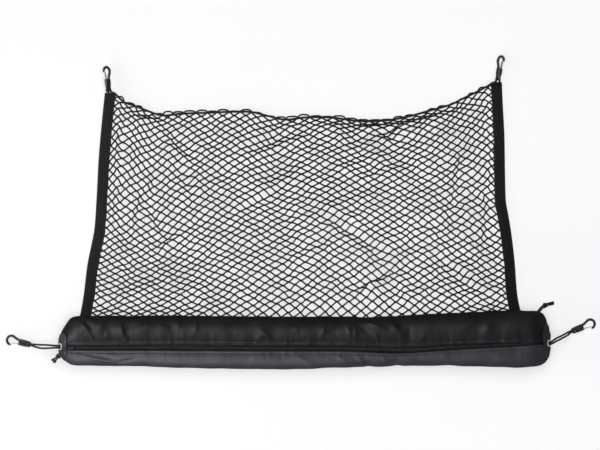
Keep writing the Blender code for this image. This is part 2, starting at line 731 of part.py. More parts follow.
def net_points():
    """The net's middle surface: its outline blended inwards, laid on the floor with its folds,
    raised into the bands at both sides and into the case's back seam at the bottom."""
    across = np.linspace(0, 1, NET_COLUMNS + 1)
    down = np.linspace(0, 1, NET_ROWS + 1)
    down = ease(down) * NET_ROW_CROWD + down * (1 - NET_ROW_CROWD)
    left_x, left_y = band_line(BAND_LEFT, down, -NET_TUCK)
    right_x, right_y = band_line(BAND_RIGHT, down, NET_TUCK)
    u, v = across[None, :], down[:, None]
    edge_x = left_x[0] + (right_x[0] - left_x[0]) * across
    cord_x, cord_y = column(CORD_EDGE, "x"), column(CORD_EDGE, "y")
    top = smooth(edge_x, cord_x, cord_y) + NET_PAST_CORD
    corner = ease((np.abs(edge_x) - NET_CORNER[0]) / NET_CORNER[1])
    lower = np.where(edge_x < 0, left_y[0], right_y[0]) - NET_CORNER_DROP
    top = top * (1 - corner) + lower * corner
    top = top + SCALLOP_RISE * (np.arange(NET_COLUMNS + 1) % 2) * (1 - corner)
    seam_x = left_x[-1] + (right_x[-1] - left_x[-1]) * across
    seam, out = seam_point(seam_x)
    x = left_x[:, None] * (1 - u) + right_x[:, None] * u
    y = left_y[:, None] * (1 - u) + right_y[:, None] * u
    straight_top = left_y[0] * (1 - across) + right_y[0] * across
    straight_low = left_y[-1] * (1 - across) + right_y[-1] * across
    foot = seam[:, 1] + SEAM_FOOT
    y = y + (1 - v) * (top - straight_top)[None, :] + v * (foot - straight_low)[None, :]
    band_middle = BAND_PLY + GAP + NET_THICK / 2
    to_side = np.minimum(x - left_x[:, None], right_x[:, None] - x) - NET_TUCK
    in_band = 1 - ease((to_side - BAND_WIDTH / 2 - BAND_CLIMB[0]) / BAND_CLIMB[1])
    calm = ease((top[None, :] - y) / FOLD_FADE) * ease((y - foot[None, :]) / FOLD_FADE)
    calm *= 1 - in_band
    z = NET_THICK / 2 + fold_height(x, y) * calm + (band_middle - NET_THICK / 2) * in_band
    sheet = np.stack([x, y, z], axis=-1)
    # The last rows leave the floor and follow the seam's slope into the case.
    hinge = seam + out * SEAM_HINGE
    inside = seam - out * SEAM_DEPTH
    for row in (hinge, inside):
        row[:, 0] = seam_x
    return np.concatenate([sheet, hinge[None], inside[None]])


def build_net(collection):
    mesh = grid_mesh("net", net_points())
    thicken(add_object("net", mesh, "net_yarn", collection), NET_THICK, offset=0.0)


def build_band(name, rows, side, collection):
    """A strip folded over the net's edge: a U with its open side towards the net."""
    share = np.linspace(0, 1, BAND_STEPS + 1)
    half = BAND_WIDTH / 2
    height = 2 * BAND_PLY + NET_THICK + 2 * GAP
    outline = [
        (-half, 0.0),
        (half - BAND_BEVEL, 0.0),
        (half, BAND_BEVEL),
        (half, height - BAND_BEVEL),
        (half - BAND_BEVEL, height),
        (-half, height),
        (-half, height - BAND_PLY),
        (half - BAND_FOLD, height - BAND_PLY),
        (half - BAND_FOLD, BAND_PLY),
        (-half, BAND_PLY),
    ]
    rings = []
    for aside, z in outline:
        x, y = band_line(rows, share, side * aside)
        rings.append(np.stack([x, y, np.full_like(x, z)], axis=-1))
    rings = np.stack(rings, axis=1)
    add_object(name, loft_mesh(name, rings), "band_webbing", collection)


# ---------------------------------------------------------------- hooks


def hook_frame(hook):
    """Matrix from a hook's own u, v, w (metres) to the layout."""
    turn = Matrix.Rotation(math.radians(hook.turn), 4, "Z")
    mirror = Matrix.Rotation(math.pi, 4, "X") if hook.spine < 0 else Matrix.Identity(4)
    dip = Matrix.Rotation(math.radians(hook.pitch), 4, "Y")
    roll = Matrix.Rotation(math.radians(-hook.spine * hook.roll), 4, "X")
    place = Matrix.Translation(Vector((hook.x, hook.y, hook.z)) * MM)
    return place @ turn @ dip @ roll @ mirror


def rounded_section(half_v, half_w, sides=12, power=0.5):
    turn = np.linspace(0, 2 * math.pi, sides, endpoint=False) + math.pi / sides
    v = half_v * np.sign(np.cos(turn)) * np.abs(np.cos(turn)) ** power
    w = half_w * np.sign(np.sin(turn)) * np.abs(np.sin(turn)) ** power
    return v, w


def hook_block_mesh():
    rings = []
    for piece in HOOK_BLOCK:
        v, w = rounded_section(piece.half_v, piece.half_w)
        rings.append(np.stack([np.full_like(v, piece.u), v, w], axis=-1))
    return loft_mesh("hook_block", np.stack(rings))


def hook_loop_mesh():
    """The spine and loop: an oval section carried along the spine and round the arc."""
    turn = np.radians(np.linspace(*LOOP_SWEEP, LOOP_STEPS))
    arc = np.c_[LOOP_CENTRE + LOOP_RADIUS * np.cos(turn), LOOP_RADIUS * np.sin(turn)]
    line = np.vstack([SPINE_START, arc])
    along = np.gradient(line, axis=0)
    along /= np.linalg.norm(along, axis=1)[:, None]
    aside = np.c_[-along[:, 1], along[:, 0]]
    around = np.linspace(0, 2 * math.pi, 8, endpoint=False) + math.pi / 8
    sizes = np.ones(len(line))
    sizes[-1] = LOOP_TIP
    rings = []
    for point, out, size in zip(line, aside, sizes):
        in_plane = LOOP_HALF[0] * size * np.cos(around) / math.cos(math.pi / 8)
        w = LOOP_HALF[1] * size * np.sin(around) / math.cos(math.pi / 8)
        rings.append(np.c_[point + in_plane[:, None] * out, w])
    return loft_mesh("hook_loop", np.stack(rings))


def box_cutter(name, low, high, cutters):
    mesh = bpy.data.meshes.new(name)
    solid = bmesh.new()
    bmesh.ops.create_cube(solid, size=1)
    size = Vector(high) - Vector(low)
    bmesh.ops.scale(solid, vec=size * MM, verts=solid.verts)
    bmesh.ops.translate(solid, vec=(Vector(low) + size / 2) * MM, verts=solid.verts)
    solid.to_mesh(mesh)
    solid.free()
    return add_object(name, mesh, "hook_plastic", cutters)


def round_cutter(name, centre, radius, depth, cutters):
    mesh = bpy.data.meshes.new(name)
    solid = bmesh.new()
    bmesh.ops.create_cone(
        solid,
        cap_ends=True,
        segments=16,
        radius1=radius * MM,
        radius2=radius * MM,
        depth=depth * MM,
        matrix=Matrix.Translation(Vector((*centre, 0)) * MM),
    )
    solid.to_mesh(mesh)
    solid.free()
    return add_object(name, mesh, "hook_plastic", cutters)


def hook_body_mesh(cutters):
    """Block and loop joined, less the eye's slot and the groove that holds the gate."""
    block = add_object("hook_block", hook_block_mesh(), "hook_plastic", cutters)
    loop = add_object("hook_loop", hook_loop_mesh(), "hook_plastic", cutters)
    low, high, half = HOOK_SLOT
    deep = CUTTER_DEPTH / 2
    slot = box_cutter("hook_slot", (low, -half, -deep), (high, half, deep), cutters)
    groove = round_cutter("gate_groove", GATE_PIVOT, GATE_GROOVE, CUTTER_DEPTH, cutters)
    boolean(block, loop, "UNION")
    boolean(block, slot, "DIFFERENCE")
    boolean(block, groove, "DIFFERENCE")
    return baked(block, "hook_body")


def gate_mesh():
    """A flat steel leaf with a round root, closed along its own u axis."""
    rings = []
    for point in GATE:
        v = np.array([-1, 1, 1, -1]) * point.half
        w = np.array([-1, -1, 1, 1]) * GATE_HALF_WIDTH
        rings.append(np.stack([np.full(4, point.u), v, w], axis=-1))
    return loft_mesh("gate", np.stack(rings))


def build_hooks(collection, cutters):
    """Each hook hangs its body and its gate on one empty; the gate's origin is its pivot."""
    body_mesh, leaf_mesh = hook_body_mesh(cutters), gate_mesh()
    body_mesh.materials.append(finish_material("hook_plastic"))
    leaf_mesh.materials.append(finish_material("gate_steel"))
    for hook in HOOKS:
        frame = bpy.data.objects.new(f"hook_{hook.name}_frame", None)
        frame.empty_display_size = 0.01
        frame.matrix_world = hook_frame(hook)
        body = bpy.data.objects.new(f"hook_{hook.name}", body_mesh)
        gate = bpy.data.objects.new(f"gate_{hook.name}", leaf_mesh)
        gate.location = Vector((*GATE_PIVOT, 0)) * MM
        gate.rotation_euler = (0, 0, math.radians(GATE_TURN))
        for piece in (frame, body, gate):
            collection.objects.link(piece)
        body.parent = frame
        gate.parent = frame


def eye_pass(hook, radius, aside, from_above=True):
    """A cord's way round the bar of a hook's eye: over it, down the slot and back under it."""
    reach = HOOK_BLOCK[1].half_w + radius + EYE_CLEAR
    over = [(way.u, way.aside * aside, way.reach * reach) for way in EYE_WAY]
    under = [(u, -v, -w) for u, v, w in reversed(over)]
    frame = hook_frame(hook)
    local = [*over, (EYE_DEEPEST, 0, 0), *under]
    points = [np.array(frame @ (Vector(point) * MM)) / MM for point in local]
    if (points[1][2] > points[-2][2]) != from_above:
        points.reverse()
    return points


# ---------------------------------------------------------------- cords


def band_mouth(band_end, start):
    """Where the cord comes straight out of a band's upper end."""
    x, y = band_end.x + start.x, band_end.y + start.y
    middle = BAND_PLY + GAP + NET_THICK / 2
    return [(x, y + step.x, middle + step.y) for step in MOUTH_STEPS]


def edge_cord_line():
    """From the left band's top through the left eye, along the net's edge, through the right
    eye and into the right band's top."""
    left, right = HOOKS[0], HOOKS[1]
    points = band_mouth(BAND_LEFT[0], CORD_START)
    points += eye_pass(left, CORD_RADIUS, CORD_EYE_ASIDE, from_above=False)[1:]
    points += CORD_OVER_LEFT
    points += [(row.x, row.y, cord_height(row.x)) for row in CORD_EDGE]
    points += CORD_OVER_RIGHT
    points += eye_pass(right, CORD_RADIUS, CORD_EYE_ASIDE)[:-1]
    points += band_mouth(BAND_RIGHT[0], CORD_FINISH)[::-1]
    return through(points)


def bungee_line(side, hook, upper, lower):
    """Out of the eyelet along the upper strand, round the hook's eye and back."""
    normal = end_normal(side)
    mouth = eyelet_centre(side)
    aside = np.array([0, BUNGEE_APART, 0])
    out = [mouth + aside + normal * depth for depth in BUNGEE_OUT]
    back = [mouth - aside + normal * depth for depth in reversed(BUNGEE_OUT)]
    turn = eye_pass(hook, BUNGEE_RADIUS, BUNGEE_EYE_ASIDE * hook.spine)
    return through([*out, *upper, *turn, *reversed(lower), *back])


def build_cords(collection):
    tube("top_cord", edge_cord_line(), CORD_RADIUS, "elastic_cord", collection, CORD_SPACING)
    left = bungee_line(-1, HOOKS[2], BUNGEE_LEFT_UPPER, BUNGEE_LEFT_LOWER)
    right = bungee_line(1, HOOKS[3], BUNGEE_RIGHT_UPPER, BUNGEE_RIGHT_LOWER)
    tube("bungee_left", left, BUNGEE_RADIUS, "elastic_cord", collection)
    tube("bungee_right", right, BUNGEE_RADIUS, "elastic_cord", collection)


def knot_mesh(name):
    """A flattened ring round both strands, in its own plane."""
    around = np.linspace(0, 2 * math.pi, KNOT_STEPS[0], endpoint=False)
    section = np.linspace(0, 2 * math.pi, KNOT_STEPS[1], endpoint=False)
    centre = np.c_[KNOT_HOLE[0] * np.cos(around), KNOT_HOLE[1] * np.sin(around), 0 * around]
    outward = np.c_[np.cos(around), np.sin(around), 0 * around]
    out = KNOT_TUBE * (1 + np.cos(section))[None, :, None]
    lift = np.outer(np.sin(section), (0, 0, KNOT_STRETCH * KNOT_TUBE))
    points = centre[:, None] + out * outward[:, None] + lift[None]
    mesh = grid_mesh(name, np.concatenate([points, points[:1]]), wrap=True)
    weld(mesh)
    return mesh


def build_pull(name, held, middle, tips, collection):
    """Two strands side by side from their held ends, through the knot, to their tails."""
    middle = np.array(middle, float)
    along = np.gradient(middle, axis=0)
    along /= np.linalg.norm(along, axis=1)[:, None]
    aside = np.cross(along, (0, 0, 1))
    aside /= np.linalg.norm(aside, axis=1)[:, None]
    for letter, sign, start, tip in zip("ab", (-1, 1), held, tips):
        strand = middle + sign * (PULL_RADIUS + GAP) * aside
        line = through([*start, *strand, tip])
        tube(f"{name}_{letter}", line, PULL_RADIUS, "elastic_cord", collection)
    knot = add_object(f"{name}_knot", knot_mesh(f"{name}_knot"), "elastic_cord", collection)
    across, forward = Vector(aside[KNOT_AT]), Vector(along[KNOT_AT])
    turn = Matrix((across, forward.cross(across), forward)).transposed()
    knot.matrix_world = Matrix.Translation(Vector(middle[KNOT_AT]) * MM) @ turn.to_4x4()


def build_pulls(collection):
    """The left pull hangs on the slider's arch; the right one comes out from under the case."""
    frame = slider_frame()
    arch_room = SLIDER_ARCH_SEAT + SLIDER_ARCH_RADIUS - SLIDER_ARCH_WIRE
    hole = SLIDER_SIZE[2] / 2 + arch_room / 2
    held = []
    for sign in (-1, 1):
        local = [Vector((spot.x, sign * spot.y, hole)) for spot in PULL_ARCH]
        held.append([np.array(frame @ (point * MM)) / MM for point in local])
    build_pull("pull_left", held, PULL_LEFT, PULL_LEFT_TIPS, collection)
    under = [case_surface(x, PULL_RIGHT_ANGLE, -PULL_RIGHT_SEAT) for x in PULL_RIGHT_HELD]
    build_pull("pull_right", [[point] for point in under], PULL_RIGHT, PULL_RIGHT_TIPS, collection)


# ---------------------------------------------------------------- assembly


def main():
    for old in list(bpy.data.objects):
        bpy.data.objects.remove(old)
    collection = bpy.data.collections.new("cargo_net")
    cutters = bpy.data.collections.new("cutters")
    for group in (collection, cutters):
        bpy.context.scene.collection.children.link(group)
    build_case(collection)
    build_zip(collection)
    for side, word in ((-1, "left"), (1, "right")):
        build_end(side, f"case_end_{word}", collection)
        build_eyelet(side, f"eyelet_{word}", collection)
    build_slider(collection, cutters)
    build_net(collection)
    build_band("band_left", BAND_LEFT, -1, collection)
    build_band("band_right", BAND_RIGHT, 1, collection)
    build_hooks(collection, cutters)
    build_cords(collection)
    build_pulls(collection)
    for helper in cutters.objects:
        helper.hide_render = True
        helper.display_type = "WIRE"


main()
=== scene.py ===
"""Cargo net with a zipped storage case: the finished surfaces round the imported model.

The net is knitted out of two families of yarn, the case is sewn leatherette with a coil zip, the
bands are folded webbing with two rows of stitches, and the hooks are moulded with steel gates.
Tables are in millimetres, as the maker's drawings are; meshes are in metres."""

import math
from collections import namedtuple

import bmesh
import bpy
import numpy as np
from mathutils import Matrix, Vector


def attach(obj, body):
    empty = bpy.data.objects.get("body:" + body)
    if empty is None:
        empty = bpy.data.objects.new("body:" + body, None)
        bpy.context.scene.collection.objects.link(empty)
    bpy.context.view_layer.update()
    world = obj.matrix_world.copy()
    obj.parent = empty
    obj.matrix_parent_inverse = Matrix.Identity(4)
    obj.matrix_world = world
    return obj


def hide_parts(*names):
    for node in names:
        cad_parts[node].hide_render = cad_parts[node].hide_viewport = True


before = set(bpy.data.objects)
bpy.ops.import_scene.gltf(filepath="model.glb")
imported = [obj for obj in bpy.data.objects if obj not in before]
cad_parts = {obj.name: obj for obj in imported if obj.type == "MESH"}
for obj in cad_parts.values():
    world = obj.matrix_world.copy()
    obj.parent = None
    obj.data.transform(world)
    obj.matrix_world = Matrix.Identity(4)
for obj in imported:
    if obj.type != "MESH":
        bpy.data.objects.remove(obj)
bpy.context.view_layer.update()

MM = 0.001
GAP = 0.35  # clearance that keeps an end panel, an eyelet and the slider off what is beside them
ROOT = "net_and_case"


def table(kind, *rows):
    return [kind(*row) for row in rows]


# ---------------------------------------------------------------- the storage case's tables
Station = namedtuple("Station", "x back front floor crest upper_lip lower_lip")
CASE = table(
    Station,
    (-449, -222, -271, 13, 62, -244.5, -256.5), (-441, -210, -277, 7, 67, -244.5, -256.5),
    (-429, -197.5, -283, 1, 71, -244.3, -256.6), (-410, -196, -284, 0, 72, -244.2, -256.7),
    (-285, -196, -286, 0, 73, -243, -256.9), (-230, -196.2, -288.5, 0, 74, -242.8, -257.2),
    (-20, -198, -291, 0, 77, -244.2, -258.2), (60, -196.5, -288, 0, 78, -244.4, -258.4),
    (180, -192.5, -285, 0, 79, -247, -262), (250, -189.5, -284, 0, 80, -244, -257.5),
    (330, -186.5, -286, 0, 82, -241, -252.5), (402, -183, -287.5, 0, 83, -240, -248.5),
    (427, -184, -286.3, 1, 82, -240, -247), (440.5, -188, -282, 5, 77, -240, -246.3),
    (449.5, -205.5, -274, 11, 69, -240, -246),
)
CASE_ROUNDNESS = 2.3  # superellipse exponent of the tube's section
CASE_FLAT = 0.06  # share of the height pressed flat against the floor
CASE_WALL = 2.2
END_LEAN = {-1: 0.287, 1: 0.22}  # how far an end's top leans in, for each unit of height
END_LEAN_REACH = 55.0  # length of tube over which the lean builds up
SEAM_ANGLE = math.radians(-44.0)  # the back seam that holds the net
SEAM_HALF_SLOT = 1.025

# Soft dents. Angle 0 is the back, 90 the crest and 180 the front.
Crease = namedtuple("Crease", "x angle depth half_length half_width slant")
CREASES = table(
    Crease,
    (-398, 52, 1.6, 22, 9, 10), (-362, 60, 1.4, 24, 8, -8), (-322, 56, 1.2, 20, 8, -10),
    (-250, 48, 1.0, 24, 12, 12), (60, 50, 1.3, 24, 10, -10), (110, 60, 1.4, 20, 9, 12),
    (178, 46, 1.6, 26, 11, 6), (330, 50, 1.0, 24, 12, -8), (-330, 138, 1.3, 16, 12, -28),
    (90, 150, 1.2, 14, 12, 10), (160, 146, 1.3, 14, 10, -12), (215, 150, 1.2, 14, 10, 12),
)

# Wrinkles of the skins where they show from above: a soft ridge (rise above 0) or dent along a line
Wrinkle = namedtuple("Wrinkle", "x y heading half_length half_width rise")
WRINKLES = table(
    Wrinkle,
    (-406, -212, -45, 10, 4.5, 1.0), (-378, -209, 60, 10, 4.5, 0.9), (-395, -231, -50, 9, 3.5, 1.0),
    (-366, -228, 80, 10, 4, 1.1), (-337, -224, 100, 14, 4, 1.5), (-330, -233, -75, 7, 3.5, 1.1),
    (-289, -209, 45, 11, 6, 0.8), (-235, -209, 85, 8, 5, 0.8), (-202, -213, 80, 11, 6, 1.0),
    (-73, -226, -40, 13, 6, 0.9), (-84, -232, 60, 9, 6, 0.7), (-17, -215, 80, 10, 7, 0.6),
    (35, -220, 75, 11, 5, 0.9), (83, -220, 100, 11, 4, 1.3), (94, -224, 95, 9, 3.5, 0.9),
    (129, -209, -20, 16, 3.5, 1.5), (133, -230, -60, 7, 4, 0.8), (168, -213, -50, 10, 6, 0.9),
    (194, -228, 90, 18, 7, -1.4), (219, -232, 45, 9, 5, 0.7), (338, -218, 80, 15, 8, 1.0),
    (-365, -275, -11.5, 42, 3, 0.9), (-372, -268, -9, 36, 3.5, -0.7), (3, -277, -35, 22, 5, 0.7),
    (72, -274, -40, 14, 5, 0.9), (105, -276, -55, 12, 4.5, 1.0), (150, -274, -50, 11, 5, 0.8),
    (118, -283, 85, 8, 8, -1.6), (172, -283, 95, 8, 7, -1.3),
)
WRINKLE_GAIN = 1.5
# How far the upper skin swells out over the back seam
SWELL = (
    (-449, 0.5), (-425, 4.2), (-300, 4.8), (-60, 5.0), (40, 4.6), (120, 0.4), (180, 1.8), (300, 2.4),
    (345, 3.2), (400, 2.0), (449.5, 0.6),
)
END_ROLL = (5.0, 2.2)  # the skins' round edge at the tube's ends: its length and depth
LIP_BEAD = (0.7, 1.4)  # the raised edge at each lip: height and half width
LIP_SEAM = (3.4, 0.55, 1.0)  # the stitched groove: distance from the lip, depth and half width
SKIN_PER_RADIAN = 42.0  # rough length of skin for each radian round the tube
SWELL_ANGLE = (0.06, 0.42)  # where round the tube the swell is, and its half width
WRINKLE_FROM = (18.0, 22.0)  # wrinkles start at this height and are whole after this much more
CALM_FROM = (1.0, 14.0)  # and puckers and waves
PUCKER_FADE = 13.0  # distance from the lip over which the puckers die out
PUCKER = (0.24, 9, 26)  # depth and wavelengths
WAVE = (0.32, 30, 100)
PUCKER_DRAWN = 0.35  # both are drawn out round the tube: the share of the arc that counts
WAVE_DRAWN = 0.55
UPPER_SEED = 11
LOWER_SEED = 23

# ---------------------------------------------------------------- net, bands and cords
BAND_LEFT = (
    (-360.9, 222.2), (-367.6, 157), (-372.5, 98), (-376.5, 23), (-381, -36), (-386.9, -66),
    (-393, -96), (-400.4, -155), (-405.5, -185), (-408.2, -197.0),
)
BAND_RIGHT = (
    (356.8, 242.4), (358.8, 200), (361.7, 145), (363, 68), (364.3, 23), (369.5, -8), (374.4, -38),
    (380.8, -92), (386, -155), (391, -181), (392.6, -186.5),
)
BAND_WIDTH = 20.5
BAND_PLY = 1.2
BAND_HEIGHT = 4.1
BAND_MIDDLE = 2.05
BAND_STEPS = 260
BAND_PUFF = (0.35, 6.0)  # rise of the upper ply between the stitches, and its half width
BAND_DENT = (0.3, 0.8)  # depth and half width of the furrow under each row of stitches
BAND_RIPPLE = (0.12, 8, 30)  # height and wavelengths
BAND_EDGE_RIPPLE = (0.3, 12, 60)
BAND_SEEDS = {-1: 61, 1: 71}

CORD_RADIUS = 1.95
CORD_FOOT = 1.7  # the cord lies this high, on the loops' lower halves
CORD_CLIMB = (318.0, 24.0, 1.5)  # from this x, over this length, the cord rises this much
CORD_EDGE = (
    (-341, 210), (-334, 204.5), (-319, 199.5), (-296, 190.7), (-265, 180.6), (-231, 183.5),
    (-188, 185.2), (-100, 186.9), (-71, 180.4), (-36, 172.6), (0, 176.5), (48, 176.7), (102, 170),
    (154, 171.5), (198, 179.5), (226, 187.5), (273, 201), (293, 211), (322, 225), (334, 231.5),
)
CORD_OVER_LEFT = ((-353.2, 221.6, 6.9), (-347.6, 216.4, 5.4))
CORD_OVER_RIGHT = ((340.6, 234.8, 5.6), (347, 239.2, 7.4))
CORD_EYE_ASIDE = -0.6
CORD_START = (-3.4, 0)
CORD_FINISH = (6.2, 0.4)
MOUTH_STEPS = ((1.2, 0), (2.1, 0.3))

# The knitted mesh: joints at whole (column, row) whose sum is even, row 0 on the cord
COLUMNS = 70
ROWS = 60
LEFT_INSET = 10.0  # column 0, from the left band's centre line
RIGHT_INSET = 2.0
COLUMNS_IN_BAND = 1
YARN_END_IN_BAND = 7.5
ROWS_IN_SEAM = 2
YARN_RADIUS = 1.44
YARN_SIDES = 6
YARN_STEPS = 5  # points for each edge of a mesh
JOINT_SWELL = 0.14
JOINT_LENGTH = 0.2  # half length of a joint's thick part, in rows
JOINT_FLATTEN = 0.035  # how far a joint is drawn out level, in rows
JOINT_LIFT = 0.25
JOINT_SLIP = (0.36, 0.32)  # seeded slip of the joints in x and y, root mean square
YARN_BOW = (0.6, 0.45, 1.1)  # how far the yarn between two joints bows in x, y and z at most
NET_WAVE = (1.0, 0.85)  # root mean square in x and y
NET_WAVELENGTHS = (26, 80)
SLACK_WAVELENGTHS = (45, 150)
TOP_LOOP_CROSSING = (0.45, 0.4)  # the turn of a loop where it crosses the cord, and its half width
NET_GUESS = 370.0  # half the net's width, to start from
NET_ROUNDS = 6
EDGE_CALM = 4  # rows or columns over which slips and waves die out at the net's edges
EDGE_FREE = 0.2  # the outer columns are this share past it, so they move a little
NET_SEEDS = (101, 102, 103)  # of the waves in x, in y and of the slack
JOINT_SEED = 7
JOINT_MARGIN = 4  # spare columns and rows round the net in the table of slips
TOP_LOOP_SEED = 500
TOP_LOOP_ROUND = (0.75, 1.1)  # powers of the loop's cosine and sine
BAND_CLIMB = (2, 22)  # the net has a band's height up to this far off it, then comes down over this
NET_PAST_CORD = 3.5  # folds and slack begin this far above the cord's line
TOP_LOOP_RISE = 5.4  # of the threaded loops above the cord's line
TOP_LOOP_SHARES = (0.35, 1.05)  # each loop's own share of that
TOP_LOOP_TILT = 1.2
TOP_LOOP_LIFT = (0.9, 2.6)  # height of a loop's crown
NET_Z = 1.75
NET_SLACK = (3.4, 1.9)  # mean height of the slack net above its lowest, and the waves on it
SEAM_FOOT = 8.0
SEAM_HINGE = 3.5
SEAM_DEPTH = 3.0
FOLD_FADE = 40.0
Fold = namedtuple("Fold", "x0 y0 x1 y1 height half_width")
FOLDS = table(
    Fold,
    (20, 0, 154, -94, 5, 16), (224, -60, 350, -150, 4, 16), (85, -158, 160, -124, 5, 14),
    (-276, 90, -262, 40, 3, 20), (-205, 72, -170, 15, 4, 16), (282, 160, 312, -50, 6, 26),
    (120, 128, 176, 92, 5, 14), (-150, -40, -60, -75, 3, 20), (-335, -60, -300, -110, 3, 16),
)
# Where the mesh has slipped sideways from even spacing: a soft push over an oval
Slip = namedtuple("Slip", "x y dx dy reach_x reach_y")
SLIPS = table(
    Slip,
    (-230, 70, -15, 0, 130, 150), (230, 110, 14, 0, 120, 130), (-360, -20, 0, -19, 70, 130),
    (120, 10, 0, 22, 170, 160), (375, -20, 0, -19, 60, 140), (-80, -150, 9, 0, 220, 60),
    (-90, 60, -11, 0, 120, 170), (-260, -50, 0, -14, 90, 100), (-290, 150, 0, 11, 60, 80),
    (0, -120, 0, 7, 120, 90), (300, -50, 0, -11, 70, 110), (240, 150, 0, 8, 80, 60),
)
# Short places where it is drawn together (across below 0), open or sheared along a line
Tug = namedtuple("Tug", "x y heading length width across along")
TUGS = table(
    Tug,
    (157, 140, 40, 22, 9, -4.0, 2.5), (150, 122, -25, 20, 8, -3.5, 0),
    (-272, 52, 80, 20, 9, -2.2, 0.8), (-72, 22, 23.4, 60, 8, 2.6, 0.8),
    (-193, 58, -62, 34, 7, 3.8, -1.5), (-215, 118, -40, 40, 9, -3.0, 0),
    (-300, 20, 70, 30, 8, -2.6, 0), (-262, -10, -55, 34, 8, -3.0, 1.5),
    (-245, -38, 38, 22, 7, -3.2, 0), (87, -47, -34.8, 70, 8, 3.4, -1.5),
    (298, -112, -34.6, 70, 9, 3.2, -1.0), (122, -142, 24, 36, 7, -4.0, 0),
    (126, -172, 10, 30, 14, 3.0, 0), (230, 150, 60, 40, 9, 2.4, 0), (270, 60, 80, 50, 10, -3.0, 1.0),
    (-40, 120, 20, 50, 9, -2.4, 0), (60, 60, -30, 50, 9, 2.2, 0), (-330, 120, 85, 40, 8, 2.4, 0),
    (330, -20, 85, 60, 9, -2.6, 0),
)

# ---------------------------------------------------------------- hooks
Hook = namedtuple("Hook", "name x y z turn roll pitch spine")
HOOKS = table(
    Hook,
    ("top_left", -363.8, 225.2, 8.9, 95.9, 50, 0, -1),
    ("top_right", 359.4, 245.4, 8.9, 81.2, 50, 0, 1),
    ("bottom_left", -508.9, -245.7, 6.4, 167.1, 0, 4.5, -1),
    ("bottom_right", 497.2, -220.8, 6.4, 21.5, 0, 4.5, 1),
)
Slice = namedtuple("Slice", "u half_v half_w")
HOOK_BLOCK = table(
    Slice,
    (0, 4.2, 1.5), (0.7, 5.0, 2.0), (9.8, 6.0, 2.3), (12.5, 6.1, 3.3), (21.0, 6.1, 3.5),
    (22.6, 5.9, 3.3), (23.2, 5.4, 2.9),
)
HOOK_SLOT = (2.6, 6.5, 2.3)  # from u, to u, half width
HOOK_VOXEL = 0.00032  # metres
HOOK_SOFTENING = (0.5, 9)  # smoothing factor and rounds
HOOK_LOOP_CENTRE = 37.0
HOOK_LOOP_RADIUS = 8.3
HOOK_LOOP_HALF = (2.35, 2.45)  # half the section in the loop's plane and across it
HOOK_LOOP_SWEEP = (118.0, -98.0)  # degrees about the loop's centre
HOOK_LOOP_TIP = (0.97, 0.9, 0.78, 0.62, 0.4)  # sizes of its last sections
HOOK_LOOP_SPACING = 0.9  # between its sections
HOOK_LOOP_SIDES = 20
SPINE_START = ((17.5, 2.6), (23.5, 3.7), (29.5, 5.6))
GATE_PIVOT = (22.2, -3.4)
GATE_GROOVE = 1.55
GATE_TURN = -6.0  # degrees from the u axis, closed
GATE_HALF_WIDTH = 1.7
GATE_TAPER = (0.25, 10.0, 5.0)  # share of its width lost, from this u, over this length
GATE = (
    (-1.1, 0.35), (-0.7, 0.95), (0.0, 1.2), (0.7, 0.95), (1.2, 0.45), (13.1, 0.45), (14.3, 0.3),
)
# A cord's way round the bar of a hook's eye: u, share of aside and share of reach
EYE_WAY = ((-1.6, 1, 0.93), (1.3, 0.7, 1), (4.45, 0.4, 0.72))
EYE_DEEPEST = 5.1
EYE_CLEAR = 0.8

# ---------------------------------------------------------------- bungees, pulls and eyelets
END_DOME = 1.5
END_AROUND = 120
END_RINGS = 22
END_SEED = 41
END_WAVE = (0.3, 8, 26)  # height and wavelengths
END_RIM = (0.93, 0.07)  # share of the way to the tube's outline where the rim turns in, and the rest
END_RIM_LOSS = 0.9  # share of the wall that is gone at the rim
END_TILT_REACH = 0.6  # share of the way over which the eyelet's tilt dies out
FRONT_LIT_FROM = (-257.0, -260.5)  # y where the right end panel changes to the lower panel's grey, which is painted light
EYELET_AT = {-1: (-249.0, 35.0), 1: (-242.5, 40.0)}
EYELET_HOLE = 3.8
EYELET_WALL = 0.8
EYELET_FLANGE = 6.5
EYELET_RIM = 0.9
EYELET_TILT = math.radians(17)
EYELET_STEPS = (12, 64)  # over a rolled rim, and round the eyelet
EYELET_ROUND = 0.8  # power of the rim's sine
BUNGEE_RADIUS = 1.8
BUNGEE_APART = 1.9  # each strand from the eyelet's axis
# Along the end's normal, for each side
BUNGEE_OUT = {-1: (-1.0, 4.5, 9.5), 1: (-1.0, 3.2, 5.2)}
BUNGEE_EYE_ASIDE = 1.2
BUNGEE_LEFT_UPPER = ((-478, -245.9, 38), (-490, -245.6, 28), (-499.5, -245.3, 17))
BUNGEE_LEFT_LOWER = ((-476, -251.9, 37), (-487, -252.2, 27), (-496.5, -250.6, 12))
BUNGEE_RIGHT_UPPER = ((467.3, -233.4, 44), (477.8, -228.6, 36), (488.0, -223.4, 21))
BUNGEE_RIGHT_LOWER = ((469.3, -237.9, 41), (480.0, -232.7, 31), (489.5, -227.8, 13))
PULL_RADIUS = 1.5
STRAND_GAP = 0.05  # between a pull's strand and the line half way between both
FRAY_FIBRES = 64
FRAY_FLARE = {"left": 1.7, "right": 0.7}
FRAY_FOOT = (5.6, 1.3)  # how far a fibre's foot lies inside the cord's end, and off its middle
FRAY_LENGTH = (6.4, 9.6)
FRAY_RADIUS = 0.38
FRAY_BEND = 1.3  # power by which a fibre bends away from the cord's line
FRAY_FLAT = 0.7  # the fan's height for each unit of its width
FRAY_SEED = 900
FLOOR_CLEAR = 0.4  # lowest middle of a fibre
KNOT_AT = 2  # which point of a pull's line the knot is on
KNOT_TURNS = 2.1
KNOT_HALF = (3.5, 2.3)  # across the strands and up
KNOT_LENGTH = 5.4
KNOT_TUBE = 1.35
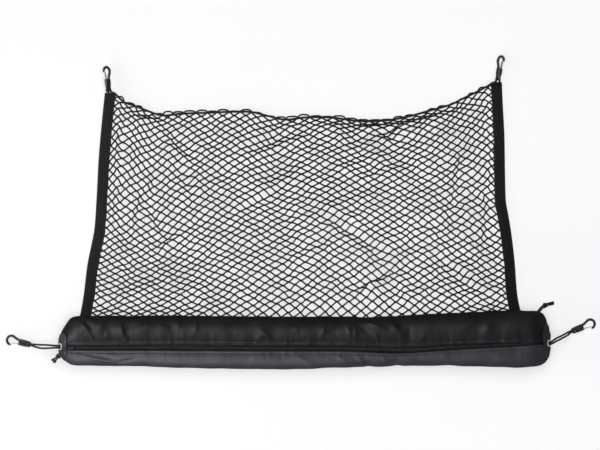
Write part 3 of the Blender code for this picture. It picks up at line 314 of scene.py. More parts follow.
PULL_LEFT = (
    (-447.5, -257, 63), (-453, -262.4, 55), (-456.2, -266.6, 45), (-460.2, -270.6, 37),
)
PULL_LEFT_TIPS = ((-463.2, -276.4, 30), (-466.0, -273.2, 31))
PULL_ARCH = ((0.3, 0.2), (0.2, 1.6), (-1.8, 3.0))
PULL_RIGHT = (
    (433.5, -189, 1.8), (438.4, -180.5, 2.8), (447.6, -172.4, 4.2), (454.5, -170.4, 3.8),
)
PULL_RIGHT_TIPS = ((460.4, -167.6, 1.9), (460.2, -170.6, 1.9))
PULL_RIGHT_HELD = (431.5, 434.9)  # where its strands leave the case's underside
PULL_RIGHT_ANGLE = math.radians(-48.3)
PULL_RIGHT_SEAT = 1.05

# ---------------------------------------------------------------- zip
TAPE_THICK = 1.2
TAPE_OVERLAP = 3.6
TAPE_SINK = 0.75
COIL_RISE = 1.3
SLIDER_X = -441.5
SLIDER_SIZE = (12.0, 8.0, 2.6)
SLIDER_ARCH_RADIUS = 3.2
SLIDER_ARCH_SEAT = 0.7
SLIDER_ARCH_WIRE = 0.8
SLIDER_WAIST = (0.22, 0.45)  # how far its sides are drawn in, and over which share of its length
SLIDER_SWEEP = (-20, 200)  # degrees of the arch
SLIDER_ROUND = 0.6  # power of the ring's cosine and sine: 1 is an oval, 0 a box
TAPE_WIDTH = 19.0
TAPE_ROWS = 17
TAPE_SAG = (0.12, 9, 40)  # depth and wavelengths
COIL_PITCH = 1.6
COIL_MARGIN = 10.0
TOOTH_RADIUS = 0.55
TOOTH_REACH = (2.3, -0.7)  # from the tape's middle, out and past it
TAPE_STEPS = 420
TAPE_SEED = 5
TAPE_MARGIN = 3.0
STITCH_MARGIN = 6.0
STITCH_LIFT = 0.1  # out of the leatherette
STITCH_ROW = 7.6  # from a band's middle
STITCH_PITCH = 3.6
STITCH_LENGTH = 2.7
STITCH_RADIUS = 0.27


# ================================================================ curves and tables


def column(rows, name):
    return np.array([getattr(row, name) for row in rows], float)


def ease(t):
    """3t^2 - 2t^3: 0 to 1 with level ends."""
    t = np.clip(t, 0, 1)
    return t * t * (3 - 2 * t)


def smooth(x, xs, ys):
    """Cubic through (xs, ys) that never overshoots a row, held level past the ends."""
    step = np.diff(xs)
    slope = np.diff(ys) / step
    least = np.minimum(np.abs(slope[:-1]), np.abs(slope[1:]))
    middle = np.clip((slope[:-1] + slope[1:]) / 2, -2 * least, 2 * least)
    middle[slope[:-1] * slope[1:] <= 0] = 0
    tangent = np.concatenate([slope[:1], middle, slope[-1:]])
    at = np.clip(x, xs[0], xs[-1])
    i = np.clip(np.searchsorted(xs, at) - 1, 0, len(step) - 1)
    t = (at - xs[i]) / step[i]
    rise = ys[i] * (1 + 2 * t) * (1 - t) ** 2 + ys[i + 1] * t**2 * (3 - 2 * t)
    bend = tangent[i] * t * (1 - t) ** 2 - tangent[i + 1] * t**2 * (1 - t)
    return rise + step[i] * bend


def running(line):
    """The polyline's length up to each of its points."""
    return np.concatenate([[0], np.cumsum(np.linalg.norm(np.diff(line, axis=0), axis=1))])


def turns(count, first=0.0):
    """Even angles round a ring."""
    return np.linspace(0, 2 * math.pi, count, endpoint=False) + first


def rounded(value, power):
    """A power that keeps the sign, which makes a ring's cosine and sine more like a box's."""
    return np.sign(value) * np.abs(value) ** power


def box_ring(count, power):
    turn = turns(count, math.pi / count)
    return rounded(np.cos(turn), power), rounded(np.sin(turn), power)


def hill(*offsets):
    """1 where every offset is 0, and exp(-offset^2) away from there."""
    return np.exp(-sum(offset**2 for offset in offsets))


def heading_way(degrees):
    return np.array([math.cos(math.radians(degrees)), math.sin(math.radians(degrees))])


def along_and_off(x, y, start, way):
    """How far (x, y) is along a line from start, with the unit vector way, and off to its left."""
    x, y = x - start[0], y - start[1]
    return x * way[0] + y * way[1], y * way[0] - x * way[1]


CURVE_STEPS = 24  # points between two of a curve's points


def through(points):
    """Centripetal Catmull-Rom curve through the points, as a dense polyline."""
    points = np.asarray(points, float)
    points = np.vstack([2 * points[0] - points[1], points, 2 * points[-1] - points[-2]])
    knots = np.concatenate([[0], np.cumsum(np.linalg.norm(np.diff(points, axis=0), axis=1) ** 0.5)])
    pieces = []
    for i in range(1, len(points) - 2):
        t = np.linspace(knots[i], knots[i + 1], CURVE_STEPS, endpoint=False)[:, None]

        def blend(a, b, first, last):
            return ((knots[last] - t) * a + (t - knots[first]) * b) / (knots[last] - knots[first])

        one = blend(points[i - 1], points[i], i - 1, i)
        two = blend(points[i], points[i + 1], i, i + 1)
        three = blend(points[i + 1], points[i + 2], i + 1, i + 2)
        pieces.append(blend(blend(one, two, i - 1, i + 1), blend(two, three, i, i + 2), i, i + 1))
    return np.vstack(pieces + [points[-2:-1]])


def even(line, spacing):
    """The polyline resampled at equal steps of about spacing, by its running length."""
    run = running(line)
    at = np.linspace(0, run[-1], max(2, int(round(run[-1] / spacing)) + 1))
    return np.stack([np.interp(at, run, line[:, k]) for k in range(3)], axis=-1)


RIPPLE_WAVES = 22


def ripples(u, v, seed, shortest, longest):
    """A sum of seeded plane waves with wavelengths from shortest to longest, rms about 1."""
    draw = np.random.default_rng(seed)
    lengths = np.exp(draw.uniform(math.log(shortest), math.log(longest), RIPPLE_WAVES))
    headings = draw.uniform(0, math.pi, RIPPLE_WAVES)
    phases = draw.uniform(0, 2 * math.pi, RIPPLE_WAVES)
    total = np.zeros(np.broadcast(u, v).shape)
    for length, heading, phase in zip(lengths, headings, phases):
        way = u * math.cos(heading) + v * math.sin(heading)
        total += np.sin(2 * math.pi * way / length + phase)
    return total * math.sqrt(2 / RIPPLE_WAVES)


def unit(vectors):
    return vectors / np.linalg.norm(vectors, axis=-1, keepdims=True)


# ================================================================ meshes and pieces


def grid_faces(rows, columns, wrap, start):
    """Quads over rows x columns points; wrap closes each row on itself. Also each corner's
    (row, column), with the column running on to its full count past the wrap."""
    row = np.arange(rows - 1)[:, None]
    here = np.arange(columns if wrap else columns - 1)[None, :]
    nodes, marks = [], []
    for down, across in ((0, 0), (0, 1), (1, 1), (1, 0)):
        at_row, at_column = np.broadcast_arrays(row + down, here + across)
        nodes.append(start + at_row * columns + at_column % columns)
        marks.append(np.stack([at_row, at_column], axis=-1))
    return np.stack(nodes, axis=-1).reshape(-1, 4), np.stack(marks, axis=-2).reshape(-1, 4, 2)


def zipper_caps(rows, columns, start):
    """Quads that close the first and last ring, each point joined to its mirror in the ring."""
    i = np.arange(columns // 2 - 1)
    ring = np.stack([i, i + 1, columns - 2 - i, columns - 1 - i], axis=-1) + start
    return np.concatenate([ring, ring[:, ::-1] + (rows - 1) * columns])


class Shape:
    """Points, quads and UVs gathered from any number of grids, in millimetres."""

    def __init__(self):
        self.points, self.faces, self.uvs, self.count = [], [], [], 0

    def add(self, points, wrap=False, caps=False, u=None, v=None):
        """A grid points[row, column]. u has a value for each column (and one past it on a wrap),
        v for each row, both in millimetres."""
        rows, columns = points.shape[:2]
        faces, marks = grid_faces(rows, columns, wrap, self.count)
        u = np.linspace(0, 1, columns + 1) if u is None else np.asarray(u)
        v = np.linspace(0, 1, rows) if v is None else np.asarray(v)
        uv = np.stack([u[marks[..., 1]], v[marks[..., 0]]], axis=-1)
        self.points.append(points.reshape(-1, 3))
        self.faces.append(faces)
        self.uvs.append(uv.reshape(-1, 2))
        if caps:
            ends = zipper_caps(rows, columns, self.count)
            self.faces.append(ends)
            self.uvs.append(np.zeros((ends.size, 2)))
        self.count += rows * columns

    def mesh(self, name, outward=True, weld=False):
        """The mesh in metres. Weld joins points in the same place."""
        mesh = bpy.data.meshes.new(name)
        points = np.concatenate(self.points) * MM
        mesh.from_pydata(points.tolist(), [], np.concatenate(self.faces).tolist())
        layer = mesh.uv_layers.new(name="UVMap")
        layer.data.foreach_set("uv", np.concatenate(self.uvs).ravel())
        if outward:
            solid = bmesh.new()
            solid.from_mesh(mesh)
            bmesh.ops.recalc_face_normals(solid, faces=solid.faces)
            if weld:
                bmesh.ops.remove_doubles(solid, verts=solid.verts, dist=1e-6)
                bmesh.ops.recalc_face_normals(solid, faces=solid.faces)
            solid.to_mesh(mesh)
            solid.free()
        mesh.update()
        mesh.shade_smooth()
        return mesh


def lofted(name, points, **places):
    """The mesh of one grid of rings, closed at both ends."""
    shape = Shape()
    shape.add(points, wrap=True, caps=True, **places)
    return shape.mesh(name)


def add_object(name, mesh):
    made = bpy.data.objects.new(name, mesh)
    bpy.context.scene.collection.objects.link(made)
    return made


def add_piece(name, mesh, finish, stands_for=(), body=ROOT):
    """Links the piece, gives it its finish and lets it ride on a body. A Shape is made a mesh."""
    mesh = mesh.mesh(name) if isinstance(mesh, Shape) else mesh
    piece = add_object(name, mesh)
    mesh.materials.clear()
    mesh.materials.append(finish)
    if stands_for:
        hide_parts(*stands_for)
    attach(piece, body)
    return piece


TIP_SHARES = np.array([0.5, 0.87, 0.98])  # how far a tube's end rings are on the way to its tip


def frames_along(line):
    """Tangent, side and up along a polyline, with the side carried on without twist."""
    along = unit(np.gradient(line, axis=0))
    side = np.zeros_like(line)
    first = np.cross(along[0], (0.0, 0.0, 1.0))
    if np.linalg.norm(first) < 0.1:
        first = np.cross(along[0], (0.0, 1.0, 0.0))
    side[0] = first / np.linalg.norm(first)
    for i in range(1, len(line)):
        moved = side[i - 1] - along[i] * (side[i - 1] @ along[i])
        side[i] = moved / np.linalg.norm(moved)
    return along, side, np.cross(side, along)


def add_tube(shape, line, radius, sides):
    """A ring of radius round each point of a line; the ends are drawn in to a small flat."""
    around = 2 * math.pi * float(np.mean(radius))
    along, side, up = frames_along(line)
    radius = np.broadcast_to(np.asarray(radius, float), (len(line),))
    run = running(line)
    turn = turns(sides)[:, None]
    spokes = np.cos(turn) * side[:, None] + np.sin(turn) * up[:, None]
    rings = line[:, None] + radius[:, None, None] * spokes
    tips = []
    for end, way in ((0, -1), (-1, 1)):
        drawn = np.sqrt(1 - TIP_SHARES**2)[:, None, None]
        past = (way * TIP_SHARES * radius[end])[:, None, None] * along[end]
        tips.append(line[end] + (rings[end] - line[end]) * drawn + past)
    rings = np.concatenate([tips[0][::-1], rings, tips[1]])
    v = np.concatenate([-TIP_SHARES[::-1] * radius[0], run, run[-1] + TIP_SHARES * radius[-1]])
    shape.add(rings, wrap=True, caps=True, u=np.linspace(0, around, sides + 1), v=v)


ROD_SIDES = 6
ROD_SHARES = np.array([-0.04, 0.04, 0.2, 0.5, 0.8, 0.96, 1.04])  # its rings, along its length
ROD_FAT = np.array([0.35, 0.85, 1.0, 1.05, 1.0, 0.85, 0.35])  # and their size


def rods(shape, starts, ends, ups, radius, arch=0.35):
    """Many short stitches at once: a rod from each start to its end that arches along up and
    dips at both ends."""
    rise = arch * (1 - (2 * ROD_SHARES - 1) ** 4) - 0.5 * arch
    way = ends - starts
    side = unit(np.cross(way, ups))
    middle = starts[:, None] + way[:, None] * ROD_SHARES[:, None] + ups[:, None] * rise[:, None]
    turn = turns(ROD_SIDES)[:, None]
    spokes = np.cos(turn) * side[:, None, None] + np.sin(turn) * ups[:, None, None]
    rings = middle[:, :, None] + radius * ROD_FAT[:, None, None] * spokes
    v = ROD_SHARES * float(np.linalg.norm(way, axis=1).mean())
    u = np.linspace(0, 2 * math.pi * radius, ROD_SIDES + 1)
    for ring in rings:
        shape.add(ring, wrap=True, caps=True, u=u, v=v)


# ================================================================ finishes


class Term:
    """A shader socket. Python's operators on it add Math nodes, and make() adds any node."""

    def __init__(self, tree, socket=None):
        self.tree, self.socket = tree, socket

    def make(self, kind, inputs=None, out=0, **settings):
        node = self.tree.nodes.new("ShaderNode" + kind)
        for name, value in settings.items():
            setattr(node, name, value)
        for name, value in (inputs or {}).items():
            if isinstance(value, Term):
                self.tree.links.new(value.socket, node.inputs[name])
            else:
                node.inputs[name].default_value = value
        return Term(self.tree, node.outputs[out])

    def math(self, operation, *values):
        return self.make("Math", dict(enumerate(values)), operation=operation)

    def __add__(self, other):
        return self.math("ADD", self, other)

    def __sub__(self, other):
        return self.math("SUBTRACT", self, other)

    def __mul__(self, other):
        return self.math("MULTIPLY", self, other)

    def __pow__(self, other):
        return self.math("POWER", self, other)

    __radd__, __rmul__ = __add__, __mul__

    def sine(self):
        return self.math("SINE", self)

    def size(self):
        return self.math("ABSOLUTE", self)

    def between(self, low, high):
        """0 at low, 1 at high, with soft ends."""
        values = {"Value": self, "From Min": low, "From Max": high}
        return self.make("MapRange", values, interpolation_type="SMOOTHSTEP")

    def parts(self):
        """The three numbers of a vector."""
        split = self.make("SeparateXYZ", {0: self})
        outputs = split.socket.node.outputs
        return [Term(self.tree, outputs[k]) for k in range(3)]

    def mixed(self, first, second):
        """first where this is 0, second where it is 1; both are colours."""
        mix = self.make("Mix", data_type="RGBA")
        node = mix.socket.node
        self.tree.links.new(self.socket, node.inputs[0])
        for socket, value in ((node.inputs[6], first), (node.inputs[7], second)):
            if isinstance(value, Term):
                self.tree.links.new(value.socket, socket)
            else:
                socket.default_value = (*value, 1)
        return Term(self.tree, node.outputs[2])


def linear(red, green, blue):
    """An sRGB colour of 0 to 255 as the shader's own linear numbers."""
    values = np.array([red, green, blue]) / 255
    return tuple(np.where(values <= 0.04045, values / 12.92, ((values + 0.055) / 1.055) ** 2.4))


def start_finish(name):
    """A new material, a Term to make nodes with, and its Principled shader."""
    material = bpy.data.materials.new(name)
    material.use_nodes = True
    return material, Term(material.node_tree), material.node_tree.nodes["Principled BSDF"]


def close_finish(terms, shader, **inputs):
    """Sets or links the shader's sockets; an underscore in a name is a space."""
    for name, value in inputs.items():
        socket = shader.inputs[name.replace("_", " ")]
        if isinstance(value, Term):
            terms.tree.links.new(value.socket, socket)
        else:
            socket.default_value = (*value, 1) if isinstance(value, tuple) else value


def noise(terms, where, scale, detail=3.0, rough=0.55):
    values = {"Vector": where, "Scale": scale, "Detail": detail, "Roughness": rough}
    return terms.make("TexNoise", values)


def bump(terms, height, distance, strength):
    return terms.make("Bump", {"Height": height, "Distance": distance, "Strength": strength})


def shades(tone, low, high, dark, light):
    """The dark colour where tone is low, the light one where it is high."""
    return tone.between(low, high).mixed(linear(*dark), linear(*light))


def place_of(terms, name="Object"):
    """The object's own coordinates in metres, or its UV map in millimetres."""
    return terms.make("TexCoord", out={"Object": 3, "UV": 2}[name])


def leatherette_finish(name, dark, light, roughness, front=None):
    """Coated fabric, duller than solid plastic: a pebbled grain of Voronoi cells with fine pores,
    cloudy gloss and colour. Front gives the dark and light of the part in front of FRONT_LIT_FROM,
    the lower panel's painted light carried onto an end panel."""
    material, terms, shader = start_finish(name)
    where = place_of(terms)
    bent = noise(terms, where, 260, 2.0)
    pebbles = {"Vector": where, "Scale": 620.0, "Randomness": 0.9}
    cells = terms.make("TexVoronoi", pebbles, feature="SMOOTH_F1")
    folds = {"Vector": where, "Scale": 330.0}
    valleys = terms.make("TexVoronoi", folds, feature="DISTANCE_TO_EDGE")
    pores = noise(terms, where, 2400, 2.0)
    grain = cells * 0.55 + valleys.between(0, 0.14) * 0.35 + pores * 0.15 + bent * 0.3
    cloud = noise(terms, where, 22, 4.0, 0.6)
    blotch = noise(terms, where, 90, 3.0)
    tone = (cloud * 0.7 + blotch * 0.3).between(0.32, 0.68)
    colour = tone.mixed(linear(*dark), linear(*light))
    if front:
        # Painted light: towards the front the colour changes to the lower panel's lit grey.
        painted_light_ahead = (where.parts()[1] * -1).between(-FRONT_LIT_FROM[0] * MM, -FRONT_LIT_FROM[1] * MM)
        colour = painted_light_ahead.mixed(colour, tone.mixed(linear(*front[0]), linear(*front[1])))
    rough = roughness + (cloud - 0.5) * 0.16 + (blotch - 0.5) * 0.08
    normal = bump(terms, grain, 0.00022, 0.55)
    close_finish(terms, shader, Base_Color=colour, Roughness=rough, Normal=normal, IOR=1.36)
    return material


def woven_finish(name, dark, light, across, along, depth, roughness):
    """A plain weave on the UV map: warp and weft ribs of the given pitches in millimetres."""
    material, terms, shader = start_finish(name)
    u, v, _ = place_of(terms, "UV").parts()
    where = place_of(terms)
    wobble = (noise(terms, where, 300, 2.0) - 0.5) * 1.2
    warp = (u * (2 * math.pi / across) + wobble).sine()
    weft = (v * (2 * math.pi / along) + wobble).sine()
    over = warp * weft
    height = over * 0.35 + weft.size() * 0.4 + 0.25 * warp.size()
    fuzz = noise(terms, where, 1800)
    cloud = noise(terms, where, 35)
    tone = over * 0.18 + cloud * 0.6 + fuzz * 0.25
    colour = shades(tone, 0.2, 0.72, dark, light)
    normal = bump(terms, height + fuzz * 0.5, depth, 0.8)
    close_finish(terms, shader, Base_Color=colour, Roughness=roughness, Normal=normal)
    close_finish(terms, shader, Sheen_Weight=0.12, Sheen_Roughness=0.5, Specular_IOR_Level=0.3)
    return material


def yarn_finish(name, dark, light, pitch, lean, depth, roughness):
    """Twisted yarn: slanting ribs round the strand on the UV map, with loose fibre."""
    material, terms, shader = start_finish(name)
    u, v, _ = place_of(terms, "UV").parts()
    where = place_of(terms)
    slant = ((u * lean + v) * (2 * math.pi / pitch)).sine()
    fibre = noise(terms, where, 2600, 3.0)
    cloud = noise(terms, where, 60, 3.0)
    tone = slant * 0.22 + cloud * 0.6 + fibre * 0.3
    colour = shades(tone, 0.15, 0.8, dark, light)
    normal = bump(terms, slant * 0.5 + fibre, depth, 0.8)
    close_finish(terms, shader, Base_Color=colour, Roughness=roughness, Normal=normal)
    close_finish(terms, shader, Sheen_Weight=0.1, Sheen_Roughness=0.5, Specular_IOR_Level=0.3)
    return material


def braid_finish(name, dark, light, pitch, depth):
    """Braided elastic: two sets of slanting ribs that pass over each other in turn."""
    material, terms, shader = start_finish(name)
    u, v, _ = place_of(terms, "UV").parts()
    where = place_of(terms)
    one = ((v + u) * (2 * math.pi / pitch)).sine()
    two = ((v - u) * (2 * math.pi / pitch)).sine()
    over = one * two
    fibre = noise(terms, where, 2200, 3.0)
    cloud = noise(terms, where, 70, 2.0)
    tone = over * 0.25 + cloud * 0.55 + fibre * 0.3
    colour = shades(tone, 0.12, 0.85, dark, light)
    normal = bump(terms, over.size() ** 0.5 + fibre * 0.4, depth, 0.9)
    close_finish(terms, shader, Base_Color=colour, Roughness=0.62, Normal=normal)
    close_finish(terms, shader, Sheen_Weight=0.15, Sheen_Roughness=0.4, Specular_IOR_Level=0.35)
    return material


def plastic_finish(name, dark, light):
    """Moulded nylon: faint orange peel, scuffs and a worn gloss."""
    material, terms, shader = start_finish(name)
    where = place_of(terms)
    peel = noise(terms, where, 900, 2.0)
    cloud = noise(terms, where, 120, 4.0)
    stretched = terms.make("Mapping", {"Vector": where, "Scale": (1.0, 0.12, 1.0)})
    scuff = noise(terms, stretched, 1500, 4.0, 0.7).between(0.58, 0.72)
    colour = shades(cloud, 0.3, 0.7, dark, light)
    rough = 0.36 + scuff * 0.22 + (cloud - 0.5) * 0.15
    normal = bump(terms, peel + scuff * 0.6, 0.00005, 0.7)
    close_finish(terms, shader, Base_Color=colour, Roughness=rough, Normal=normal)
    return material


def metal_finish(name, dark, light, roughness, brush, plated):
    """Plated metal with fine brush lines along one way and duller patches; plated is the share
    that shines as metal, the rest a pale diffuse colour that is painted reflection."""
    material, terms, shader = start_finish(name)
    where = place_of(terms)
    stretched = terms.make("Mapping", {"Vector": where, "Scale": brush})
    lines = noise(terms, stretched, 1400, 3.0, 0.6)
    cloud = noise(terms, where, 160, 3.0)
    colour = shades(cloud, 0.3, 0.7, dark, light)
    rough = roughness + lines * 0.14 + (cloud - 0.5) * 0.12
    normal = bump(terms, lines, 0.00003, 0.6)
    close_finish(terms, shader, Base_Color=colour, Roughness=rough, Normal=normal, Metallic=plated)
    return material


# The upper and lower panels are one leatherette: the lower panel's lighter colours are painted light, a
# lit copy for the side that faces the front lamps.
LEATHER_UPPER = leatherette_finish("leatherette_upper", (20, 21, 21), (28, 29, 30), 0.47)
LEATHER_LOWER_LIT = leatherette_finish("leatherette_lower_lit", (46, 45, 50), (57, 56, 62), 0.5)
# The end panels carry painted light: the left end is a lighter copy, lit from the left, and the right
# end's front part takes the lower panel's painted light.
LEATHER_END_LIT = {
    -1: leatherette_finish("leatherette_end_left_lit", (60, 59, 64), (73, 72, 78), 0.45),
    1: leatherette_finish(
        "leatherette_end_right", (43, 42, 46), (54, 53, 58), 0.45, ((50, 49, 54), (61, 60, 66))
    ),
}
BAND_WEBBING = woven_finish("band_webbing", (7, 8, 9), (17, 18, 20), 0.9, 1.3, 0.00018, 0.8)
ZIP_WEAVE = woven_finish("zip_tape_weave", (10, 10, 12), (20, 21, 24), 0.7, 0.7, 0.00012, 0.75)
NET_YARN = yarn_finish("net_yarn", (4, 4, 5), (10, 10, 12), 1.1, 0.6, 0.00012, 0.75)
THREAD = yarn_finish("sewing_thread", (22, 22, 25), (52, 52, 58), 0.6, 0.8, 0.00006, 0.5)
THREAD_BLACK = yarn_finish("black_fibre", (6, 6, 8), (20, 20, 24), 0.8, 0.8, 0.00006, 0.6)
ELASTIC = braid_finish("elastic_braid", (6, 6, 8), (21, 21, 25), 2.2, 0.0002)
COIL_NYLON = yarn_finish("coil_nylon", (16, 17, 21), (34, 36, 42), 0.5, 0.0, 0.00003, 0.35)
# The hooks' grey is the nylon's own near-black lightened evenly, which is painted sheen in place of
# highlights.
HOOK_PLASTIC_SHEEN = plastic_finish("hook_plastic", (31, 31, 35), (45, 45, 50))
# Painted reflection: the unplated share of the gates and eyelets is a light diffuse grey that stands in
# for what the metal would mirror.
GATE_STEEL = metal_finish("gate_steel", (112, 114, 120), (156, 158, 164), 0.24, (0.1, 1, 1), 0.8)
EYELET_METAL = metal_finish("eyelet_metal", (226, 227, 230), (250, 250, 252), 0.22, (1, 0.2, 1), 0.35)
SLIDER_METAL = metal_finish("slider_metal", (40, 41, 46), (82, 83, 90), 0.3, (0.2, 1, 1), 0.85)


# ================================================================ storage case


def case_at(x):
    xs = column(CASE, "x")
    return Station(x, *(smooth(x, xs, column(CASE, name)) for name in Station._fields[1:]))


def crease_depth(x, angle):
    """Each row is a long dimple: depth * exp(-around^2 - along^2), slanted as it goes round."""
    depth = np.zeros(np.broadcast(x, angle).shape)
    for crease in CREASES:
        around = (np.degrees(angle) - crease.angle) / crease.half_length
        along = (x - crease.x - crease.slant * around) / crease.half_width
        depth += crease.depth * hill(around, along)
    return depth


def case_smooth_surface(x, angle):
    """The tube without creases: y and z follow a superellipse between the station's back, front,
    floor and crest, pressed flat on the floor; x leans inwards with height near the ends."""
    x, angle = np.broadcast_arrays(np.asarray(x, float), np.asarray(angle, float))
    at = case_at(x)
    across = rounded(np.cos(angle), 2 / CASE_ROUNDNESS)
    up = rounded(np.sin(angle), 2 / CASE_ROUNDNESS)
    y = (at.back + at.front) / 2 + (at.back - at.front) / 2 * across
    rise = np.maximum(0, (1 + up) / 2 * (1 + CASE_FLAT) - CASE_FLAT)
    z = at.floor + (at.crest - at.floor) * rise
    side = np.where(x < 0, -1, 1)
    end = np.where(x < 0, CASE[0].x, CASE[-1].x)
    lean = np.where(x < 0, END_LEAN[-1], END_LEAN[1])
    lean = lean * (1 - ease(np.abs(end - x) / END_LEAN_REACH))
    return np.stack([x - side * lean * (z - (at.floor + at.crest) / 2), y, z], axis=-1)


def case_normal(x, angle):
    """Outward unit normal: the cross product of the slopes round and along the tube."""
    dx, turn = 0.4, 0.01
    inner = np.clip(x, CASE[0].x + dx, CASE[-1].x - dx)
    along = case_smooth_surface(inner + dx, angle) - case_smooth_surface(inner - dx, angle)
    around = case_smooth_surface(x, angle + turn) - case_smooth_surface(x, angle - turn)
    return unit(np.cross(around, along))


def case_surface(x, angle, inset):
    inset = np.asarray(inset + crease_depth(x, angle))
    return case_smooth_surface(x, angle) - inset[..., None] * case_normal(x, angle)


def angle_for(x, distance, angle):
    """The turn about the tube that moves a point by distance over its surface."""
    turn = 0.02
    step = case_smooth_surface(x, angle + turn) - case_smooth_surface(x, angle - turn)
    return distance * 2 * turn / np.linalg.norm(step, axis=-1)


def lip_angle(x, y):
    """The angle at which the top of the tube reaches y."""
    at = case_at(x)
    share = (y - (at.back + at.front) / 2) / ((at.back - at.front) / 2)
    return np.arccos(rounded(share, CASE_ROUNDNESS / 2))


def wrinkle_rise(place):
    """The wrinkles' height over the plan: rise * exp(-off^2 - past^2) along each row's line."""
    total = np.zeros(place.shape[:-1])
    for wrinkle in WRINKLES:
        way = heading_way(wrinkle.heading)
        along, off = along_and_off(place[..., 0], place[..., 1], (wrinkle.x, wrinkle.y), way)
        total += wrinkle.rise * hill(off / wrinkle.half_width, along / wrinkle.half_length)
    return WRINKLE_GAIN * total * ease((place[..., 2] - WRINKLE_FROM[0]) / WRINKLE_FROM[1])


def end_roll(x):
    """A quarter round that draws the skin in at both ends of the tube."""
    reach, depth = END_ROLL
    past = np.clip(1 - np.minimum(x - CASE[0].x, CASE[-1].x - x) / reach, 0, 1)
    return depth * (1 - np.sqrt(1 - past**2))


def panel_relief(x, angle, lip, seed):
    """How far the leatherette lies in: fine puckers that die out away from the zip's stitching,
    over soft hand-sized waves that fade towards the floor, the wrinkles, a bead along the lip
    with a stitched groove beside it, and the swell over the back seam."""
    arc = np.abs(angle - lip) * SKIN_PER_RADIAN
    place = case_smooth_surface(x, angle)
    fading = np.exp(-arc / PUCKER_FADE)
    pucker = fading * ripples(x, arc * PUCKER_DRAWN, seed, *PUCKER[1:]) * PUCKER[0]
    waves = ripples(x, arc * WAVE_DRAWN, seed + 1, *WAVE[1:]) * WAVE[0]
    calm = ease((place[..., 2] - CALM_FROM[0]) / CALM_FROM[1])
    near, depth, half = LIP_SEAM
    edge = depth * hill((arc - near) / half) - LIP_BEAD[0] * hill(arc / LIP_BEAD[1])
    swell = np.interp(x, *np.transpose(SWELL)) * hill((angle - SWELL_ANGLE[0]) / SWELL_ANGLE[1])
    return (pucker + waves) * calm - wrinkle_rise(place) + edge - swell + end_roll(x)


PANEL_COLUMNS = 400
PANEL_ROUND = 300.0  # of its UV map
PANEL_CROWD = 1.6  # power that crowds a section's points towards the lip
EDGE_RADIUS = CASE_WALL / 2  # of the turned edge at a lip
TURNED_STEPS = 6


def case_panel(name, start, lip, steps, seed, finish):
    """One leatherette panel as a closed loop of points carried along the tube: its outer face
    from the back seam to the zip, round the turned lip, back along the inner face and round
    the seam's edge."""
    tight = END_ROLL[0] * np.linspace(0, 1, 10)[:-1] ** 2
    middle = np.linspace(CASE[0].x + END_ROLL[0], CASE[-1].x - END_ROLL[0], PANEL_COLUMNS)
    x = np.concatenate([CASE[0].x + tight, middle, CASE[-1].x - tight[::-1]])
    first, last = start(x), lip(x)
    way = np.sign(last - first).mean()
    share = 1 - (1 - np.linspace(0, 1, steps)) ** PANEL_CROWD
    face = first[:, None] * (1 - share) + last[:, None] * share
    relief = panel_relief(x[:, None], face, last[:, None], seed)
    turn = (np.arange(TURNED_STEPS) + 0.5) / TURNED_STEPS * math.pi
    over = EDGE_RADIUS * np.sin(turn)
    sink = EDGE_RADIUS - EDGE_RADIUS * np.cos(turn)
    lip_turn = last[:, None] + way * over * angle_for(x, 1.0, last)[:, None]
    seam_turn = first[:, None] - way * 0.5 * over * angle_for(x, 1.0, first)[:, None]
    lip_relief = relief[:, -1:] + sink
    seam_relief = relief[:, :1] + sink[::-1]
    half = TURNED_STEPS // 2
    angles = [seam_turn[:, half:], face, lip_turn, face[:, ::-1], seam_turn[:, :half]]
    insets = [seam_relief[:, half:], relief, lip_relief, relief[:, ::-1] + CASE_WALL]
    insets.append(seam_relief[:, :half])
    angles, insets = np.concatenate(angles, axis=1), np.concatenate(insets, axis=1)
    points = case_surface(x[:, None], angles, insets)
    arc = np.linspace(0, PANEL_ROUND, points.shape[1] + 1)
    mesh = lofted(name + "_skin", points, u=arc, v=x)
    return add_piece(name + "_skin", mesh, finish, [name])


def seam_above(x):
    return SEAM_ANGLE + angle_for(x, SEAM_HALF_SLOT, SEAM_ANGLE)


def seam_below(x):
    return SEAM_ANGLE + 2 * math.pi - angle_for(x, SEAM_HALF_SLOT, SEAM_ANGLE)


def upper_lip(x):
    return lip_angle(x, case_at(x).upper_lip)


def lower_lip(x):
    return lip_angle(x, case_at(x).lower_lip)


def build_case():
    upper = case_panel("case_upper", seam_above, upper_lip, 72, UPPER_SEED, LEATHER_UPPER)
    lower = case_panel("case_lower", seam_below, lower_lip, 92, LOWER_SEED, LEATHER_LOWER_LIT)


def lip_stitches():
    """A stitch every few millimetres beside each lip, lying on the leatherette."""
    shape = Shape()
    count = int((CASE[-1].x - CASE[0].x - 2 * STITCH_MARGIN) / STITCH_PITCH)
    x = CASE[0].x + STITCH_MARGIN + STITCH_PITCH * np.arange(count)
    for lip, way, seed in ((upper_lip, -1, UPPER_SEED), (lower_lip, 1, LOWER_SEED)):
        ends = []
        for at in (x, x + STITCH_LENGTH):
            edge = lip(at)
            angle = edge + way * angle_for(at, LIP_SEAM[0], edge)
            ends.append(case_surface(at, angle, panel_relief(at, angle, edge, seed) - STITCH_LIFT))
        rods(shape, *ends, case_normal(x, lip(x)), STITCH_RADIUS)
    add_piece("zip_stitches", shape, THREAD)


